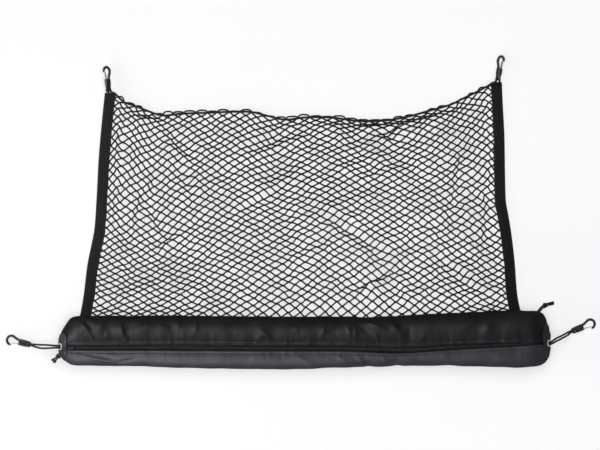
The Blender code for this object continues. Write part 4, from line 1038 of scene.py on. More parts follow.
def build_zip():
    """Tape: a strip under both lips. Coil: two rows of small teeth, each a rod across the tape's
    middle, set half a pitch apart."""
    x = np.linspace(CASE[0].x + TAPE_MARGIN, CASE[-1].x - TAPE_MARGIN, TAPE_STEPS)
    share = np.linspace(0, 1, TAPE_ROWS)
    top, bottom = upper_lip(x), lower_lip(x)
    top = top - angle_for(x, TAPE_OVERLAP, top)
    bottom = bottom + angle_for(x, TAPE_OVERLAP, bottom)
    angle = top[:, None] * (1 - share) + bottom[:, None] * share
    sag = TAPE_SAG[0] * ripples(x[:, None], 40 * share[None, :], TAPE_SEED, *TAPE_SAG[1:])
    under = CASE_WALL + TAPE_SINK
    outer = case_surface(x[:, None], angle, under + sag)
    inner = case_surface(x[:, None], angle[:, ::-1], under + TAPE_THICK + sag[:, ::-1])
    across = np.linspace(0, TAPE_WIDTH, TAPE_ROWS)
    points = np.concatenate([outer, inner], axis=1)
    mesh = lofted("zip_tape_weave", points, u=np.r_[across, across[::-1], 0], v=x)
    add_piece("zip_tape_weave", mesh, ZIP_WEAVE, ["zip_tape"])
    teeth = Shape()
    count = int((CASE[-1].x - CASE[0].x - 2 * COIL_MARGIN) / COIL_PITCH)
    for way, offset in ((-1, 0), (1, 0.5)):
        at = CASE[0].x + COIL_MARGIN + COIL_PITCH * (np.arange(count) + offset)
        middle = (upper_lip(at) + lower_lip(at)) / 2
        ends = []
        for reach in TOOTH_REACH:
            angle = middle + way * angle_for(at, reach, middle)
            ends.append(case_surface(at, angle, under - TOOTH_RADIUS))
        rods(teeth, *ends, case_normal(at, middle), TOOTH_RADIUS, arch=0.5)
    add_piece("zip_coil", teeth, COIL_NYLON)


def end_normal(side):
    return unit(np.array([side, 0, END_LEAN[side]]))


def eyelet_normal(side):
    """The end's own direction, turned up a little further by the pull of the cords."""
    lean = math.atan(END_LEAN[side]) + EYELET_TILT
    return np.array([side * math.cos(lean), 0, math.sin(lean)])


def eyelet_centre(side):
    station = CASE[0] if side < 0 else CASE[-1]
    y, z = EYELET_AT[side]
    lean = side * END_LEAN[side] * (z - (station.floor + station.crest) / 2)
    return np.array([station.x - lean, y, z]) + end_normal(side) * (GAP + END_DOME)


def build_end(side, name):
    """Rings from the eyelet's hole to the tube's outline, domed, with a turned rim and soft
    waves; the inner face lies a wall's thickness below."""
    normal = end_normal(side)
    turn = turns(END_AROUND)
    last = np.array((CASE[0] if side < 0 else CASE[-1]).x)
    edge = case_smooth_surface(last, turn) - END_ROLL[1] * case_normal(last, turn)
    centre = eyelet_centre(side) - normal * (GAP + END_DOME)
    hole = EYELET_HOLE + EYELET_WALL + GAP
    sideways = np.array([0.0, 1.0, 0.0])
    tilted = eyelet_normal(side)
    climb = np.array([-tilted[2] * side, 0, abs(tilted[0])])
    ring = centre + hole * (np.cos(turn)[:, None] * sideways + np.sin(turn)[:, None] * climb)
    share = np.linspace(0, 1, END_RINGS)[:, None, None]
    points = ring * (1 - share) + edge * share
    wave = ripples(points[..., 1], points[..., 2], END_SEED + side, *END_WAVE[1:])[..., None]
    wave = END_WAVE[0] * wave * np.sin(math.pi * share) ** 0.5
    rise = GAP + END_DOME * (1 - share**2) + wave + CASE_WALL
    rim = np.sqrt(np.clip(1 - np.clip((share - END_RIM[0]) / END_RIM[1], 0, 1) ** 2, 0, 1))
    upright = ease(share / END_TILT_REACH)
    out = unit(tilted * (1 - upright) + normal * upright)
    outer = points + (rise - CASE_WALL * (1 - rim) * END_RIM_LOSS) * out
    inner = points + (rise - CASE_WALL) * out
    loop = np.concatenate([outer, inner[::-1], outer[:1]])
    shape = Shape()
    u, v = np.linspace(0, 180, END_AROUND + 1), np.linspace(0, 90, len(loop))
    shape.add(loop, wrap=True, u=u, v=v)
    mesh = shape.mesh(name + "_skin", weld=True)
    add_piece(name + "_skin", mesh, LEATHER_END_LIT[side], [name])


def build_eyelet(side, name):
    """A turned profile: rolled flange outside, barrel, and a washer inside, with rounded rims."""
    centre, normal = eyelet_centre(side), eyelet_normal(side)
    across = unit(np.cross(normal, (0.0, 1.0, 0.0)))
    up = np.cross(normal, across)
    outer, inner = CASE_WALL + GAP, -GAP
    middle = (EYELET_HOLE + EYELET_FLANGE) / 2
    half = (EYELET_FLANGE - EYELET_HOLE) / 2
    roll = np.linspace(math.pi, 0, EYELET_STEPS[0])
    rise = EYELET_RIM * np.sin(roll) ** EYELET_ROUND
    top = np.c_[middle + half * np.cos(roll), outer + rise]
    barrel = EYELET_HOLE + EYELET_WALL
    low = np.c_[middle - half * np.cos(roll), inner - rise]
    profile = np.vstack([top, [(barrel, outer), (barrel, inner)], low])
    turn = turns(EYELET_STEPS[1])[:, None]
    radial = np.cos(turn) * across + np.sin(turn) * up
    points = centre + profile[:, None, :1] * radial[None] + profile[:, None, 1:] * normal
    shape = Shape()
    shape.add(np.concatenate([points, points[:1]]), wrap=True)
    mesh = shape.mesh(name + "_metal", weld=True)
    add_piece(name + "_metal", mesh, EYELET_METAL, [name])


# ================================================================ bands


def band_x(rows, y):
    xs, ys = np.transpose(rows)
    return smooth(-y, -ys, xs)


def band_line(rows, share, aside=0.0):
    """The band's middle line at a share of its run in y, or a line beside it."""
    y = rows[0][1] + (rows[-1][1] - rows[0][1]) * share
    step = 0.5
    slope = (band_x(rows, y + step) - band_x(rows, y - step)) / (2 * step)
    length = np.sqrt(1 + slope**2)
    return band_x(rows, y) + aside / length, y - aside * slope / length


def band_outline():
    """The folded strip's section: two plies with rounded edges towards the net, and a round
    fold on the far side. The first number is + towards the fold, the second is the height."""
    half = BAND_WIDTH / 2
    middle = half - BAND_HEIGHT / 2
    turn = np.linspace(-math.pi / 2, math.pi / 2, 9)
    fold = np.c_[middle + BAND_HEIGHT / 2 * np.cos(turn), BAND_MIDDLE + BAND_HEIGHT / 2 * np.sin(turn)]
    within = BAND_HEIGHT / 2 - BAND_PLY
    back = turn[::-1]
    inside = np.c_[middle + within * np.cos(back) * 0.6, BAND_MIDDLE + within * np.sin(back)]
    lip = np.linspace(-math.pi / 2, math.pi / 2, 5)
    ply = BAND_PLY / 2
    low_lip = np.c_[-half + ply - ply * np.cos(lip), ply - ply * np.sin(lip)]
    high_lip = np.c_[-half + ply - ply * np.cos(lip), BAND_HEIGHT - ply - ply * np.sin(lip)]
    flat = np.linspace(-half + 2, half - 4, 8)
    low_outer = np.c_[flat, 0 * flat]
    high_outer = np.c_[flat[::-1], 0 * flat + BAND_HEIGHT]
    high_inner = np.c_[flat, 0 * flat + BAND_HEIGHT - BAND_PLY]
    low_inner = np.c_[flat[::-1], 0 * flat + BAND_PLY]
    return np.vstack([low_outer, fold, high_outer, high_lip, high_inner, inside, low_inner, low_lip])


def build_band(name, rows, side):
    """The section carried down the band's centre line; the upper ply swells a little between the
    two rows of stitches and waves along the edge."""
    section, seed = band_outline(), BAND_SEEDS[side]
    share = np.linspace(0, 1, BAND_STEPS)
    y_run = band_line(rows, share)[1]
    aside, height = section.T[:, None]
    puff = BAND_PUFF[0] * hill(aside / BAND_PUFF[1])
    puff = puff + BAND_RIPPLE[0] * ripples(y_run[:, None], aside, seed, *BAND_RIPPLE[1:])
    puff = puff - BAND_DENT[0] * hill((np.abs(aside) - STITCH_ROW) / BAND_DENT[1])
    z = height + np.where(height > BAND_MIDDLE, puff, 0)
    wave = BAND_EDGE_RIPPLE[0] * ripples(y_run[:, None], 0 * aside, seed + 3, *BAND_EDGE_RIPPLE[1:])
    edge = aside + wave * (aside < 0)
    x, y = band_line(rows, share[:, None], side * edge)
    points = np.stack(np.broadcast_arrays(x, y, z), axis=-1)
    run = running(section)
    mesh = lofted(name + "_webbing", points, u=np.r_[run, run[-1] + 1], v=-y_run)
    webbing = add_piece(name + "_webbing", mesh, BAND_WEBBING, [name])
    stitches = Shape()
    long = abs(y_run[-1] - y_run[0])
    count = int(long / STITCH_PITCH)
    place = (np.arange(count) + 0.4) / count
    for across in (-STITCH_ROW, STITCH_ROW):
        ends = []
        for at in (place, place + STITCH_LENGTH / long):
            x, y = band_line(rows, at, side * across)
            ends.append(np.stack([x, y, np.full_like(x, BAND_HEIGHT + 0.02)], axis=-1))
        rods(stitches, *ends, np.broadcast_to([0.0, 0.0, 1.0], ends[0].shape), STITCH_RADIUS)
    sewn = add_piece(name + "_stitches", stitches, THREAD)
    line = np.stack([*band_line(rows, share), 0 * share], axis=-1)


# ================================================================ net


def fold_height(x, y):
    """Soft ridges: height * exp(-(off^2 + past^2) / half_width^2) along each row of the table."""
    height = np.zeros(np.broadcast(x, y).shape)
    for fold in FOLDS:
        run = np.array([fold.x1 - fold.x0, fold.y1 - fold.y0], float)
        length = np.linalg.norm(run)
        along, off = along_and_off(x, y, (fold.x0, fold.y0), run / length)
        past = np.maximum(0, np.abs(along - length / 2) - length / 2)
        height += fold.height * np.exp(-(off**2 + past**2) / fold.half_width**2)
    return height


def seam_edge(x):
    """The back seam on the case, and the way out of it."""
    angle = np.full(np.shape(x), SEAM_ANGLE)
    return case_smooth_surface(x, angle), case_normal(x, angle)


def tug_shift(x, y):
    """Each row moves the net along and across its line by an odd bump, off * exp(1/2 - off^2 / 2),
    that dies out past its length."""
    dx, dy = np.zeros(np.shape(x)), np.zeros(np.shape(x))
    for tug in TUGS:
        way = heading_way(tug.heading)
        along, off = along_and_off(x, y, (tug.x, tug.y), way)
        along, off = along / tug.length, off / tug.width
        weight = off * np.exp(0.5 - off**2 / 2 - along**2)
        dx += weight * (tug.along * way[0] - tug.across * way[1])
        dy += weight * (tug.along * way[1] + tug.across * way[0])
    return dx, dy


def cord_edge_y(x):
    return smooth(x, *np.transpose(CORD_EDGE))


def net_place(c, r):
    """Where (column, row) lies on the floor plan: an even blend between the bands and between
    the cord and the seam, plus the slips. The place sets its own bounds, so it is found by
    turns, from a first guess."""
    share, down = c / COLUMNS, r / ROWS
    x = -NET_GUESS + 2 * NET_GUESS * share
    for _ in range(NET_ROUNDS):
        top = cord_edge_y(x)
        foot = seam_edge(x)[0][..., 1] + SEAM_FOOT
        y = top + down * (foot - top)
        left = band_x(BAND_LEFT, y) + LEFT_INSET
        right = band_x(BAND_RIGHT, y) + RIGHT_INSET
        x = left + share * (right - left)
    dx, dy = np.zeros_like(x), np.zeros_like(y)
    for slip in SLIPS:
        weight = hill((x - slip.x) / slip.reach_x, (y - slip.y) / slip.reach_y)
        dx += slip.dx * weight
        dy += slip.dy * weight
    tug_x, tug_y = tug_shift(x, y)
    wave_x = NET_WAVE[0] * ripples(x, y, NET_SEEDS[0], *NET_WAVELENGTHS)
    wave_y = NET_WAVE[1] * ripples(x, y, NET_SEEDS[1], *NET_WAVELENGTHS)
    hold = ease(r / EDGE_CALM) * ease((ROWS - r) / EDGE_CALM)
    aside = ease(np.minimum(c, COLUMNS - c) / EDGE_CALM + EDGE_FREE)
    return x + (dx + tug_x + wave_x) * aside, y + (dy + tug_y + wave_y) * hold, foot


def net_height(x, y, foot):
    """The yarn's height: on the floor, up its folds, into the bands and up to the seam."""
    left = x - (band_x(BAND_LEFT, y) + BAND_WIDTH / 2)
    right = (band_x(BAND_RIGHT, y) - BAND_WIDTH / 2) - x
    in_band = 1 - ease((np.minimum(left, right) - BAND_CLIMB[0]) / BAND_CLIMB[1])
    below = cord_edge_y(x) + NET_PAST_CORD - y
    calm = ease(below / FOLD_FADE) * ease((y - foot) / FOLD_FADE) * (1 - in_band)
    slack = NET_SLACK[1] * ripples(x, y, NET_SEEDS[2], *SLACK_WAVELENGTHS)
    slack = np.maximum(0, NET_SLACK[0] + slack)
    return NET_Z + (fold_height(x, y) + slack) * calm + (BAND_MIDDLE - NET_Z) * in_band


def net_joint_shift():
    """A small seeded slip of each joint, shared by both yarns that meet there."""
    draw = np.random.default_rng(JOINT_SEED)
    shape = (COLUMNS + 2 * JOINT_MARGIN, ROWS + 2 * JOINT_MARGIN)
    slip_x, slip_y = (draw.normal(0, spread, shape) for spread in JOINT_SLIP)
    return slip_x, slip_y, draw.uniform(0, 1, shape)


def yarn_line(k, lean, shift):
    """One yarn from the seam to the cord and half round a loop above it. lean is 1 for yarns
    with column = row + k and -1 for column = k - row. Returns its centre line and radii."""
    low, high = -COLUMNS_IN_BAND, COLUMNS + COLUMNS_IN_BAND
    reach = sorted(((low - k) * lean, (high - k) * lean))
    first, last = max(0, math.ceil(reach[0])), min(ROWS + ROWS_IN_SEAM, math.floor(reach[1]))
    if last - first < 1:
        return None
    steps = (last - first) * YARN_STEPS
    t = np.linspace(first, last, steps + 1)
    c = k + lean * t
    r = t - JOINT_FLATTEN * np.sin(2 * math.pi * t)
    inside = np.minimum(r, ROWS)
    x, y, foot = net_place(c, inside)
    z = net_height(x, y, foot)
    index = np.minimum(np.floor(t).astype(int), last - 1)
    part = ease(t - index)
    dx, dy, slack = shift
    here = (np.round(k + lean * index).astype(int) + JOINT_MARGIN, index + JOINT_MARGIN // 2)
    there = (here[0] + lean, here[1] + 1)
    x = x + dx[here] * (1 - part) + dx[there] * part
    y = y + dy[here] * (1 - part) + dy[there] * part
    bow = np.sin(math.pi * (t - index))
    x = x + (slack[here] - 0.5) * YARN_BOW[0] * bow
    y = y + (slack[there] - 0.5) * YARN_BOW[1] * bow
    x = np.clip(x, band_x(BAND_LEFT, y) - YARN_END_IN_BAND, band_x(BAND_RIGHT, y) + YARN_END_IN_BAND)
    z = z + slack[here] * slack[there] * YARN_BOW[2] * bow
    joint = hill(np.abs(t - np.round(t)) / JOINT_LENGTH)
    z = z + lean * JOINT_LIFT * joint
    climb = ease((r - ROWS) / ROWS_IN_SEAM)[:, None]
    seam, out = seam_edge(x)
    hinge, inner = seam + out * SEAM_HINGE, seam - out * SEAM_DEPTH
    line = np.stack([x, y, z], axis=-1)
    rising, entering = line + (hinge - line) * climb * 2, hinge + (inner - hinge) * (climb * 2 - 1)
    way = np.where(climb < 0.5, rising, entering)
    way[:, 0] = x
    line = np.where(r[:, None] > ROWS, way, line)
    radius = YARN_RADIUS * (1 + JOINT_SWELL * joint)
    if first == 0:
        loop = top_loop(k, lean, line[0])
        line = np.concatenate([loop, line])
        radius = np.concatenate([np.full(len(loop), YARN_RADIUS), radius])
    return line, radius


def top_loop(k, lean, joint):
    """Half a loop from its crown, over or under the cord, to the first joint below it: a quarter
    of an oval in the plan, one column wide and a seeded share of TOP_LOOP_RISE high."""
    crown_x, crown_y, _ = net_place(np.array([k - lean * 1.0]), np.array([0.0]))
    draw = np.random.default_rng(TOP_LOOP_SEED + k - lean)
    rise, tilt = TOP_LOOP_RISE * draw.uniform(*TOP_LOOP_SHARES), draw.normal(0, TOP_LOOP_TILT)
    lift = draw.uniform(*TOP_LOOP_LIFT)
    crown_x = crown_x[0] + tilt
    turn = np.linspace(math.pi / 2, 0, 9)[:-1]
    x = crown_x + (joint[0] - crown_x) * np.cos(turn) ** TOP_LOOP_ROUND[0]
    y = joint[1] + (crown_y[0] + rise - joint[1]) * np.sin(turn) ** TOP_LOOP_ROUND[1]
    crossing = hill((turn - TOP_LOOP_CROSSING[0]) / TOP_LOOP_CROSSING[1])
    over = 2 * CORD_RADIUS + CORD_FOOT + YARN_RADIUS if lean > 0 else YARN_RADIUS
    z = lift + (over - lift) * crossing
    return np.stack([x, y, z], axis=-1)


def build_net():
    shift = net_joint_shift()
    for lean, word in ((1, "rising"), (-1, "falling")):
        shape = Shape()
        spread = range(-ROWS - 4, COLUMNS + 4, 2) if lean > 0 else range(0, COLUMNS + ROWS + 4, 2)
        for k in spread:
            made = yarn_line(k, lean, shift)
            if made:
                add_tube(shape, *made, YARN_SIDES)
        add_piece(f"net_yarn_{word}", shape, NET_YARN, ["net"])


# ================================================================ hooks and gates


def turned(degrees, axis):
    return Matrix.Rotation(math.radians(degrees), 4, axis)


def hook_frame(hook):
    """From a hook's own u, v, w in metres to the floor's x, y, z."""
    place = Matrix.Translation(Vector((hook.x, hook.y, hook.z)) * MM)
    roll = turned(-hook.spine * hook.roll, "X")
    mirror = Matrix.Rotation(math.pi, 4, "X") if hook.spine < 0 else Matrix.Identity(4)
    return place @ turned(hook.turn, "Z") @ turned(hook.pitch, "Y") @ roll @ mirror


def hook_block():
    """Superellipse sections whose half sizes run smoothly along u."""
    us = column(HOOK_BLOCK, "u")
    u = np.unique(np.concatenate([np.linspace(0, us[-1], 40), us]))
    half_v = smooth(u, us, column(HOOK_BLOCK, "half_v"))[:, None]
    half_w = smooth(u, us, column(HOOK_BLOCK, "half_w"))[:, None]
    v, w = box_ring(32, 0.5)
    points = np.stack(np.broadcast_arrays(u[:, None], half_v * v, half_w * w), axis=-1)
    return lofted("hook_block", points)


def hook_loop():
    """An oval section carried along the spine and round the loop's arc, drawn in at its tip."""
    turn = np.radians(np.linspace(*HOOK_LOOP_SWEEP, 40))
    centre, radius = HOOK_LOOP_CENTRE, HOOK_LOOP_RADIUS
    arc = np.c_[centre + radius * np.cos(turn), radius * np.sin(turn), 0 * turn]
    start = through([(u, v, 0) for u, v in SPINE_START] + [tuple(arc[0])])
    line = even(np.vstack([start[:-1], arc]), HOOK_LOOP_SPACING)
    along = unit(np.gradient(line, axis=0))
    aside = np.stack([-along[:, 1], along[:, 0], 0 * along[:, 0]], axis=-1)
    around = turns(HOOK_LOOP_SIDES)[:, None]
    size = np.ones(len(line))
    size[-len(HOOK_LOOP_TIP):] = HOOK_LOOP_TIP
    rings = line[:, None] + size[:, None, None] * (
        HOOK_LOOP_HALF[0] * np.cos(around) * aside[:, None]
        + HOOK_LOOP_HALF[1] * np.sin(around) * np.array([0.0, 0.0, 1.0])
    )
    return lofted("hook_loop", rings)


CUTTER_DEPTH = 7.0  # to either side of the hook's middle


def cutter_prism(name, ring):
    """A closed prism over a ring of (u, v), through the whole hook along w."""
    sides = [np.c_[ring, np.full(len(ring), w)] for w in (-CUTTER_DEPTH, CUTTER_DEPTH)]
    return lofted(name, np.stack(sides))


def hook_slot_outline():
    """A rectangle with round corners."""
    low, high, half = HOOK_SLOT
    u, v = box_ring(24, 0.35)
    return np.c_[(low + high) / 2 + u * (high - low) / 2, v * half]


def hook_body():
    """Block and loop joined, less the eye's slot and the gate's groove; then remeshed and
    smoothed, which leaves a small fillet at every edge as moulding does."""
    turn = turns(24)
    groove = np.c_[GATE_PIVOT[0] + GATE_GROOVE * np.cos(turn), GATE_PIVOT[1] + GATE_GROOVE * np.sin(turn)]
    block = add_object("hook_block", hook_block())
    others = [
        (add_object("hook_loop", hook_loop()), "UNION"),
        (add_object("hook_slot", cutter_prism("hook_slot", hook_slot_outline())), "DIFFERENCE"),
        (add_object("hook_groove", cutter_prism("hook_groove", groove)), "DIFFERENCE"),
    ]
    for other, operation in others:
        join = block.modifiers.new(operation.lower(), "BOOLEAN")
        join.operation, join.solver, join.object = operation, "EXACT", other
    fine = block.modifiers.new("fine", "REMESH")
    fine.mode, fine.voxel_size = "VOXEL", HOOK_VOXEL
    soft = block.modifiers.new("soft", "SMOOTH")
    soft.factor, soft.iterations = HOOK_SOFTENING
    graph = bpy.context.evaluated_depsgraph_get()
    mesh = bpy.data.meshes.new_from_object(block.evaluated_get(graph))
    for helper in [block, *(other for other, _ in others)]:
        bpy.data.objects.remove(helper)
    mesh.shade_smooth()
    return mesh


def gate_leaf():
    """The gate's flat leaf: rounded box sections along its own u, from the rolled root."""
    us, halves = np.transpose(GATE)
    u = np.unique(np.concatenate([np.linspace(us[0], 1.4, 14), np.linspace(1.6, us[-1], 20)]))
    half = np.interp(u, us, halves)[:, None]
    lost, start, length = GATE_TAPER
    wide = (GATE_HALF_WIDTH * (1 - lost * ease((u - start) / length)))[:, None]
    v, w = box_ring(16, 0.35)
    return lofted("gate_leaf", np.stack(np.broadcast_arrays(u[:, None], half * v, wide * w), axis=-1))


def build_hooks():
    body_mesh, leaf_mesh = hook_body(), gate_leaf()
    pivot = Matrix.Translation(Vector((*GATE_PIVOT, 0)) * MM) @ turned(GATE_TURN, "Z")
    made = {}
    for hook in HOOKS:
        frame_of_hook = hook_frame(hook)
        body, leaf = body_mesh.copy(), leaf_mesh.copy()
        body.transform(frame_of_hook)
        name = f"hook_{hook.name}"
        made[name] = add_piece(name + "_moulded", body, HOOK_PLASTIC_SHEEN, [name])
        leaf.transform(frame_of_hook @ pivot)
        name, rides = f"gate_{hook.name}", f"leaf_{hook.name}"
        made[name] = add_piece(name + "_steel", leaf, GATE_STEEL, [name], rides)
    return made


def eye_pass(hook, radius, aside, from_above=True):
    """A cord's way round the bar of a hook's eye: over it, down the slot and back under it."""
    reach = HOOK_BLOCK[1].half_w + radius + EYE_CLEAR
    over = [(u, sideways * aside, share * reach) for u, sideways, share in EYE_WAY]
    under = [(u, -v, -w) for u, v, w in reversed(over)]
    place = hook_frame(hook)
    local = [*over, (EYE_DEEPEST, 0, 0), *under]
    points = [np.array(place @ (Vector(point) * MM)) / MM for point in local]
    if (points[1][2] > points[-2][2]) != from_above:
        points.reverse()
    return points


# ================================================================ cords, pulls and slider


def cord_height(x):
    start, length, rise = CORD_CLIMB
    return CORD_FOOT + CORD_RADIUS + rise * ease((abs(x) - start) / length)


def band_mouth(band_end, start):
    x, y = band_end[0] + start[0], band_end[1] + start[1]
    return [(x, y + step, BAND_MIDDLE + rise) for step, rise in MOUTH_STEPS]


def edge_cord_line():
    left, right = HOOKS[0], HOOKS[1]
    points = band_mouth(BAND_LEFT[0], CORD_START)
    points += eye_pass(left, CORD_RADIUS, CORD_EYE_ASIDE, from_above=False)[1:]
    points += CORD_OVER_LEFT
    points += [(x, y, cord_height(x)) for x, y in CORD_EDGE]
    points += CORD_OVER_RIGHT
    points += eye_pass(right, CORD_RADIUS, CORD_EYE_ASIDE)[:-1]
    points += band_mouth(BAND_RIGHT[0], CORD_FINISH)[::-1]
    return through(points)


def bungee_line(side, hook, upper, lower):
    normal = end_normal(side)
    mouth = eyelet_centre(side)
    aside = np.array([0, BUNGEE_APART, 0])
    out = [mouth + aside + normal * depth for depth in BUNGEE_OUT[side]]
    back = [mouth - aside + normal * depth for depth in reversed(BUNGEE_OUT[side])]
    turn = eye_pass(hook, BUNGEE_RADIUS, BUNGEE_EYE_ASIDE * hook.spine)
    return through([*out, *upper, *turn, *reversed(lower), *back])


CORD_SIDES = 16
CORD_STEP = 0.75  # between two rings, as a share of the radius


def cord_piece(name, line, radius, node):
    line = even(line, radius * CORD_STEP)
    shape = Shape()
    add_tube(shape, line, radius, CORD_SIDES)
    return add_piece(name, shape, ELASTIC, [node]), line


def build_cords():
    cord_piece("top_cord_braid", edge_cord_line(), CORD_RADIUS, "top_cord")
    for side, word, hook, upper, lower in (
        (-1, "left", HOOKS[2], BUNGEE_LEFT_UPPER, BUNGEE_LEFT_LOWER),
        (1, "right", HOOKS[3], BUNGEE_RIGHT_UPPER, BUNGEE_RIGHT_LOWER),
    ):
        line = bungee_line(side, hook, upper, lower)
        piece, line = cord_piece(f"bungee_{word}_braid", line, BUNGEE_RADIUS, f"bungee_{word}")
        line[0] * MM
        line * MM


def slider_frame():
    x = np.array(SLIDER_X)
    at = case_at(x)
    angle = lip_angle(x, (at.upper_lip + at.lower_lip) / 2)
    height = COIL_RISE - CASE_WALL - TAPE_SINK + GAP + SLIDER_SIZE[2] / 2
    up = Vector(case_normal(x, angle))
    middle = Vector(case_smooth_surface(x, angle)) + up * height
    along = Vector((1, 0, 0))
    along = (along - up * along.dot(up)).normalized()
    turn = Matrix((along, up.cross(along), up)).transposed()
    return Matrix.Translation(middle * MM) @ turn.to_4x4()


def build_slider():
    """A waisted top plate, a rounded block and a wire arch for the pull."""
    shape = Shape()
    long, wide, tall = SLIDER_SIZE
    turn = turns(32, math.pi / 32)
    rise = np.linspace(-1, 1, 13)
    size = (1 - np.abs(rise) ** 4) ** 0.25
    size[[0, -1]] = 0.35
    waist = 1 - SLIDER_WAIST[0] * hill(np.cos(turn) / SLIDER_WAIST[1])
    u = rounded(np.cos(turn), SLIDER_ROUND) * long / 2
    v = rounded(np.sin(turn), SLIDER_ROUND) * wide / 2 * waist
    size, rise = size[:, None], rise[:, None]
    rings = np.stack(np.broadcast_arrays(size * u, size * v, rise * tall / 2), axis=-1)
    shape.add(rings, wrap=True, caps=True)
    sweep = np.radians(np.linspace(*SLIDER_SWEEP, 24))
    height = tall / 2 + SLIDER_ARCH_SEAT + SLIDER_ARCH_RADIUS * np.sin(sweep)
    arch = np.c_[SLIDER_ARCH_RADIUS * np.cos(sweep), 0 * sweep, height]
    add_tube(shape, arch, SLIDER_ARCH_WIRE, 10)
    mesh = shape.mesh("zip_slider_metal")
    mesh.transform(slider_frame())
    add_piece("zip_slider_metal", mesh, SLIDER_METAL, ["zip_slider"])


def wound_knot(middle, along, aside):
    """A knot drawn as cord wound round both strands: KNOT_HALF * (cos, sin) across them for
    KNOT_TURNS turns, climbing along them."""
    turn = np.linspace(0, 2 * KNOT_TURNS * math.pi, 80)[:, None]
    up = np.cross(aside, along)
    climb = (turn / turn[-1] - 0.5) * KNOT_LENGTH
    oval = middle + KNOT_HALF[0] * np.cos(turn) * aside + KNOT_HALF[1] * np.sin(turn) * up
    return oval + climb * along


def fray(shape, tip, way, flare, seed):
    """Loose fibres that fan out of a cut end, each a thin tube that bends away a little."""
    draw = np.random.default_rng(seed)
    way = unit(way)
    side = unit(np.cross(way, (0.0, 0.0, 1.0)))
    up = np.cross(side, way)
    share = np.linspace(0, 1, 6)[:, None]
    headings = draw.uniform(0, 2 * math.pi, FRAY_FIBRES)
    spreads = draw.uniform(0.1, 1.0, FRAY_FIBRES) ** 0.5
    lengths = draw.uniform(*FRAY_LENGTH, FRAY_FIBRES)
    for turn, spread, length in zip(headings, spreads, lengths):
        out = math.cos(turn) * side + FRAY_FLAT * math.sin(turn) * up
        foot = tip - way * FRAY_FOOT[0] + out * FRAY_FOOT[1] * spread
        line = foot + share * length * way + share**FRAY_BEND * flare * spread * out
        line[:, 2] = np.maximum(line[:, 2], FLOOR_CLEAR)
        add_tube(shape, line, FRAY_RADIUS, 6)


def build_pull(word, held, middle, tips):
    middle = np.array(middle, float)
    along = unit(np.gradient(middle, axis=0))
    aside = unit(np.cross(along, (0, 0, 1)))
    knot = Shape()
    line = wound_knot(middle[KNOT_AT], along[KNOT_AT], aside[KNOT_AT])
    add_tube(knot, even(line, 0.5), KNOT_TUBE, 12)
    name = f"pull_{word}_knot"
    knot_piece = add_piece(name + "_cord", knot, ELASTIC, [name])
    for letter, sign, start, tip in zip("ab", (-1, 1), held, tips):
        strand = middle + sign * (PULL_RADIUS + STRAND_GAP) * aside
        line = through([*start, *strand, tip])
        node = f"pull_{word}_{letter}"
        piece, line = cord_piece(node + "_cord", line, PULL_RADIUS, node)
        loose = Shape()
        fray(loose, line[-1], line[-1] - line[-4], FRAY_FLARE[word], FRAY_SEED + len(word) + sign)
        tail_piece = add_piece(node + "_fray", loose, THREAD_BLACK, [node])
        line[0] * MM
        line * MM
        [tail_piece, knot_piece] if letter == "a" else [tail_piece]


def build_pulls():
    place = slider_frame()
    arch_room = SLIDER_ARCH_SEAT + SLIDER_ARCH_RADIUS - SLIDER_ARCH_WIRE
    hole = SLIDER_SIZE[2] / 2 + arch_room / 2
    held = []
    for sign in (-1, 1):
        local = [Vector((x, sign * y, hole)) for x, y in PULL_ARCH]
        held.append([np.array(place @ (point * MM)) / MM for point in local])
    build_pull("left", held, PULL_LEFT, PULL_LEFT_TIPS)
    under = [case_surface(x, PULL_RIGHT_ANGLE, -PULL_RIGHT_SEAT) for x in PULL_RIGHT_HELD]
    build_pull("right", [[point] for point in under], PULL_RIGHT, PULL_RIGHT_TIPS)


# ================================================================ stage, light and camera

PHOTO_SCALE = 1.86  # mm of the layout for each pixel of the photograph
PHOTO_WIDTH = 600
PHOTO_MIDDLE = (300.0, 225.0)
LAYOUT_ORIGIN = (304.4, 212.5)  # the origin's pixel
CAMERA_HEIGHT = 15.0
WORLD_GREY = 0.09
FLOOR_GLOW = 0.478
FLOOR_Z = -0.3
FLOOR_REACH = 12000.0
WHITE = (1.0, 1.0, 1.0)
LAVENDER = (0.97, 0.95, 1.0)
# Box lights; gloss and matt say whether shiny and dull reflection see them
Lamp = namedtuple("Lamp", "name place target size watts colour gloss matt")
LAMPS = table(
    Lamp,
    ("over_box", (0.3, 0.1, 3.6), (0, 0, 0), (3.6, 3.0), 116, WHITE, False, True),
    ("front_box", (-1.8, -2.6, 0.7), (-0.35, -0.3, 0.05), (2.0, 1.0), 37, LAVENDER, False, True),
    ("left_box", (-2.4, -0.4, 0.7), (-0.45, -0.25, 0.05), (1.0, 0.8), 16, LAVENDER, False, True),
    ("front_strip", (-0.7, -1.35, 0.5), (-0.3, -0.25, 0.05), (1.3, 0.7), 22, LAVENDER, True, False),
    ("back_strip", (-0.95, 1.3, 1.7), (-0.2, -0.2, 0), (1.1, 1.4), 29, LAVENDER, True, False),
    ("left_strip", (-1.7, 0.3, 0.85), (-0.45, -0.22, 0.05), (0.7, 0.9), 18, LAVENDER, True, False),
)


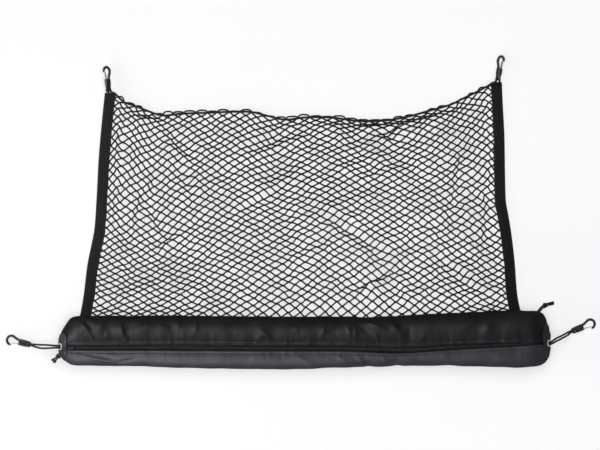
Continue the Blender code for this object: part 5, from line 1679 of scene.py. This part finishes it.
def build_stage():
    """A white light table, wide enough for low views, that shiny surfaces don't mirror."""
    shape = Shape()
    side = np.linspace(-FLOOR_REACH, FLOOR_REACH, 3)
    x, y = np.meshgrid(side, side)
    shape.add(np.stack([x, y, np.full_like(x, FLOOR_Z)], axis=-1))
    floor = add_object("floor", shape.mesh("floor", outward=False))
    material, terms, shader = start_finish("floor_white")
    tint = noise(terms, place_of(terms), 3.0).between(0.3, 0.7)
    colour = tint.mixed((0.545, 0.545, 0.548), (0.555, 0.555, 0.558))
    close_finish(terms, shader, Base_Color=colour, Roughness=0.85, Specular_IOR_Level=0.2)
    close_finish(terms, shader, Emission_Color=WHITE, Emission_Strength=FLOOR_GLOW)
    floor.data.materials.append(material)
    floor.visible_glossy = False


def add_lamp(row):
    light = bpy.data.lights.new(row.name, "AREA")
    light.shape = "RECTANGLE"
    light.size, light.size_y = row.size
    light.energy, light.color = row.watts, row.colour
    lamp = add_object(row.name, light)
    lamp.visible_camera, lamp.visible_glossy, lamp.visible_diffuse = False, row.gloss, row.matt
    lamp.location = row.place
    way = Vector(row.target) - Vector(row.place)
    lamp.rotation_euler = way.to_track_quat("-Z", "Y").to_euler()


def build_light_and_camera():
    scene = bpy.context.scene
    scene.view_settings.view_transform = "Standard"
    scene.world = bpy.data.worlds.new("studio")
    scene.world.use_nodes = True
    background = scene.world.node_tree.nodes["Background"]
    background.inputs["Color"].default_value = (1, 1, 1, 1)
    background.inputs["Strength"].default_value = WORLD_GREY
    for row in LAMPS:
        add_lamp(row)
    camera = bpy.data.cameras.new("camera")
    camera.sensor_width = 36.0
    camera.lens = camera.sensor_width * CAMERA_HEIGHT / (PHOTO_WIDTH * PHOTO_SCALE * MM)
    camera.clip_end = 100.0
    scene.camera = add_object("camera", camera)
    x = (PHOTO_MIDDLE[0] - LAYOUT_ORIGIN[0]) * PHOTO_SCALE * MM
    y = (LAYOUT_ORIGIN[1] - PHOTO_MIDDLE[1]) * PHOTO_SCALE * MM
    scene.camera.location = (x, y, CAMERA_HEIGHT)


# ================================================================ assembly

build_light_and_camera()
build_stage()
HOOK_PIECES = build_hooks()
build_cords()
build_net()
build_band("band_left", BAND_LEFT, -1)
build_band("band_right", BAND_RIGHT, 1)
build_case()
lip_stitches()
build_zip()
for end_side, end_word in ((-1, "left"), (1, "right")):
    build_end(end_side, f"case_end_{end_word}")
    build_eyelet(end_side, f"eyelet_{end_word}")
build_slider()
build_pulls()
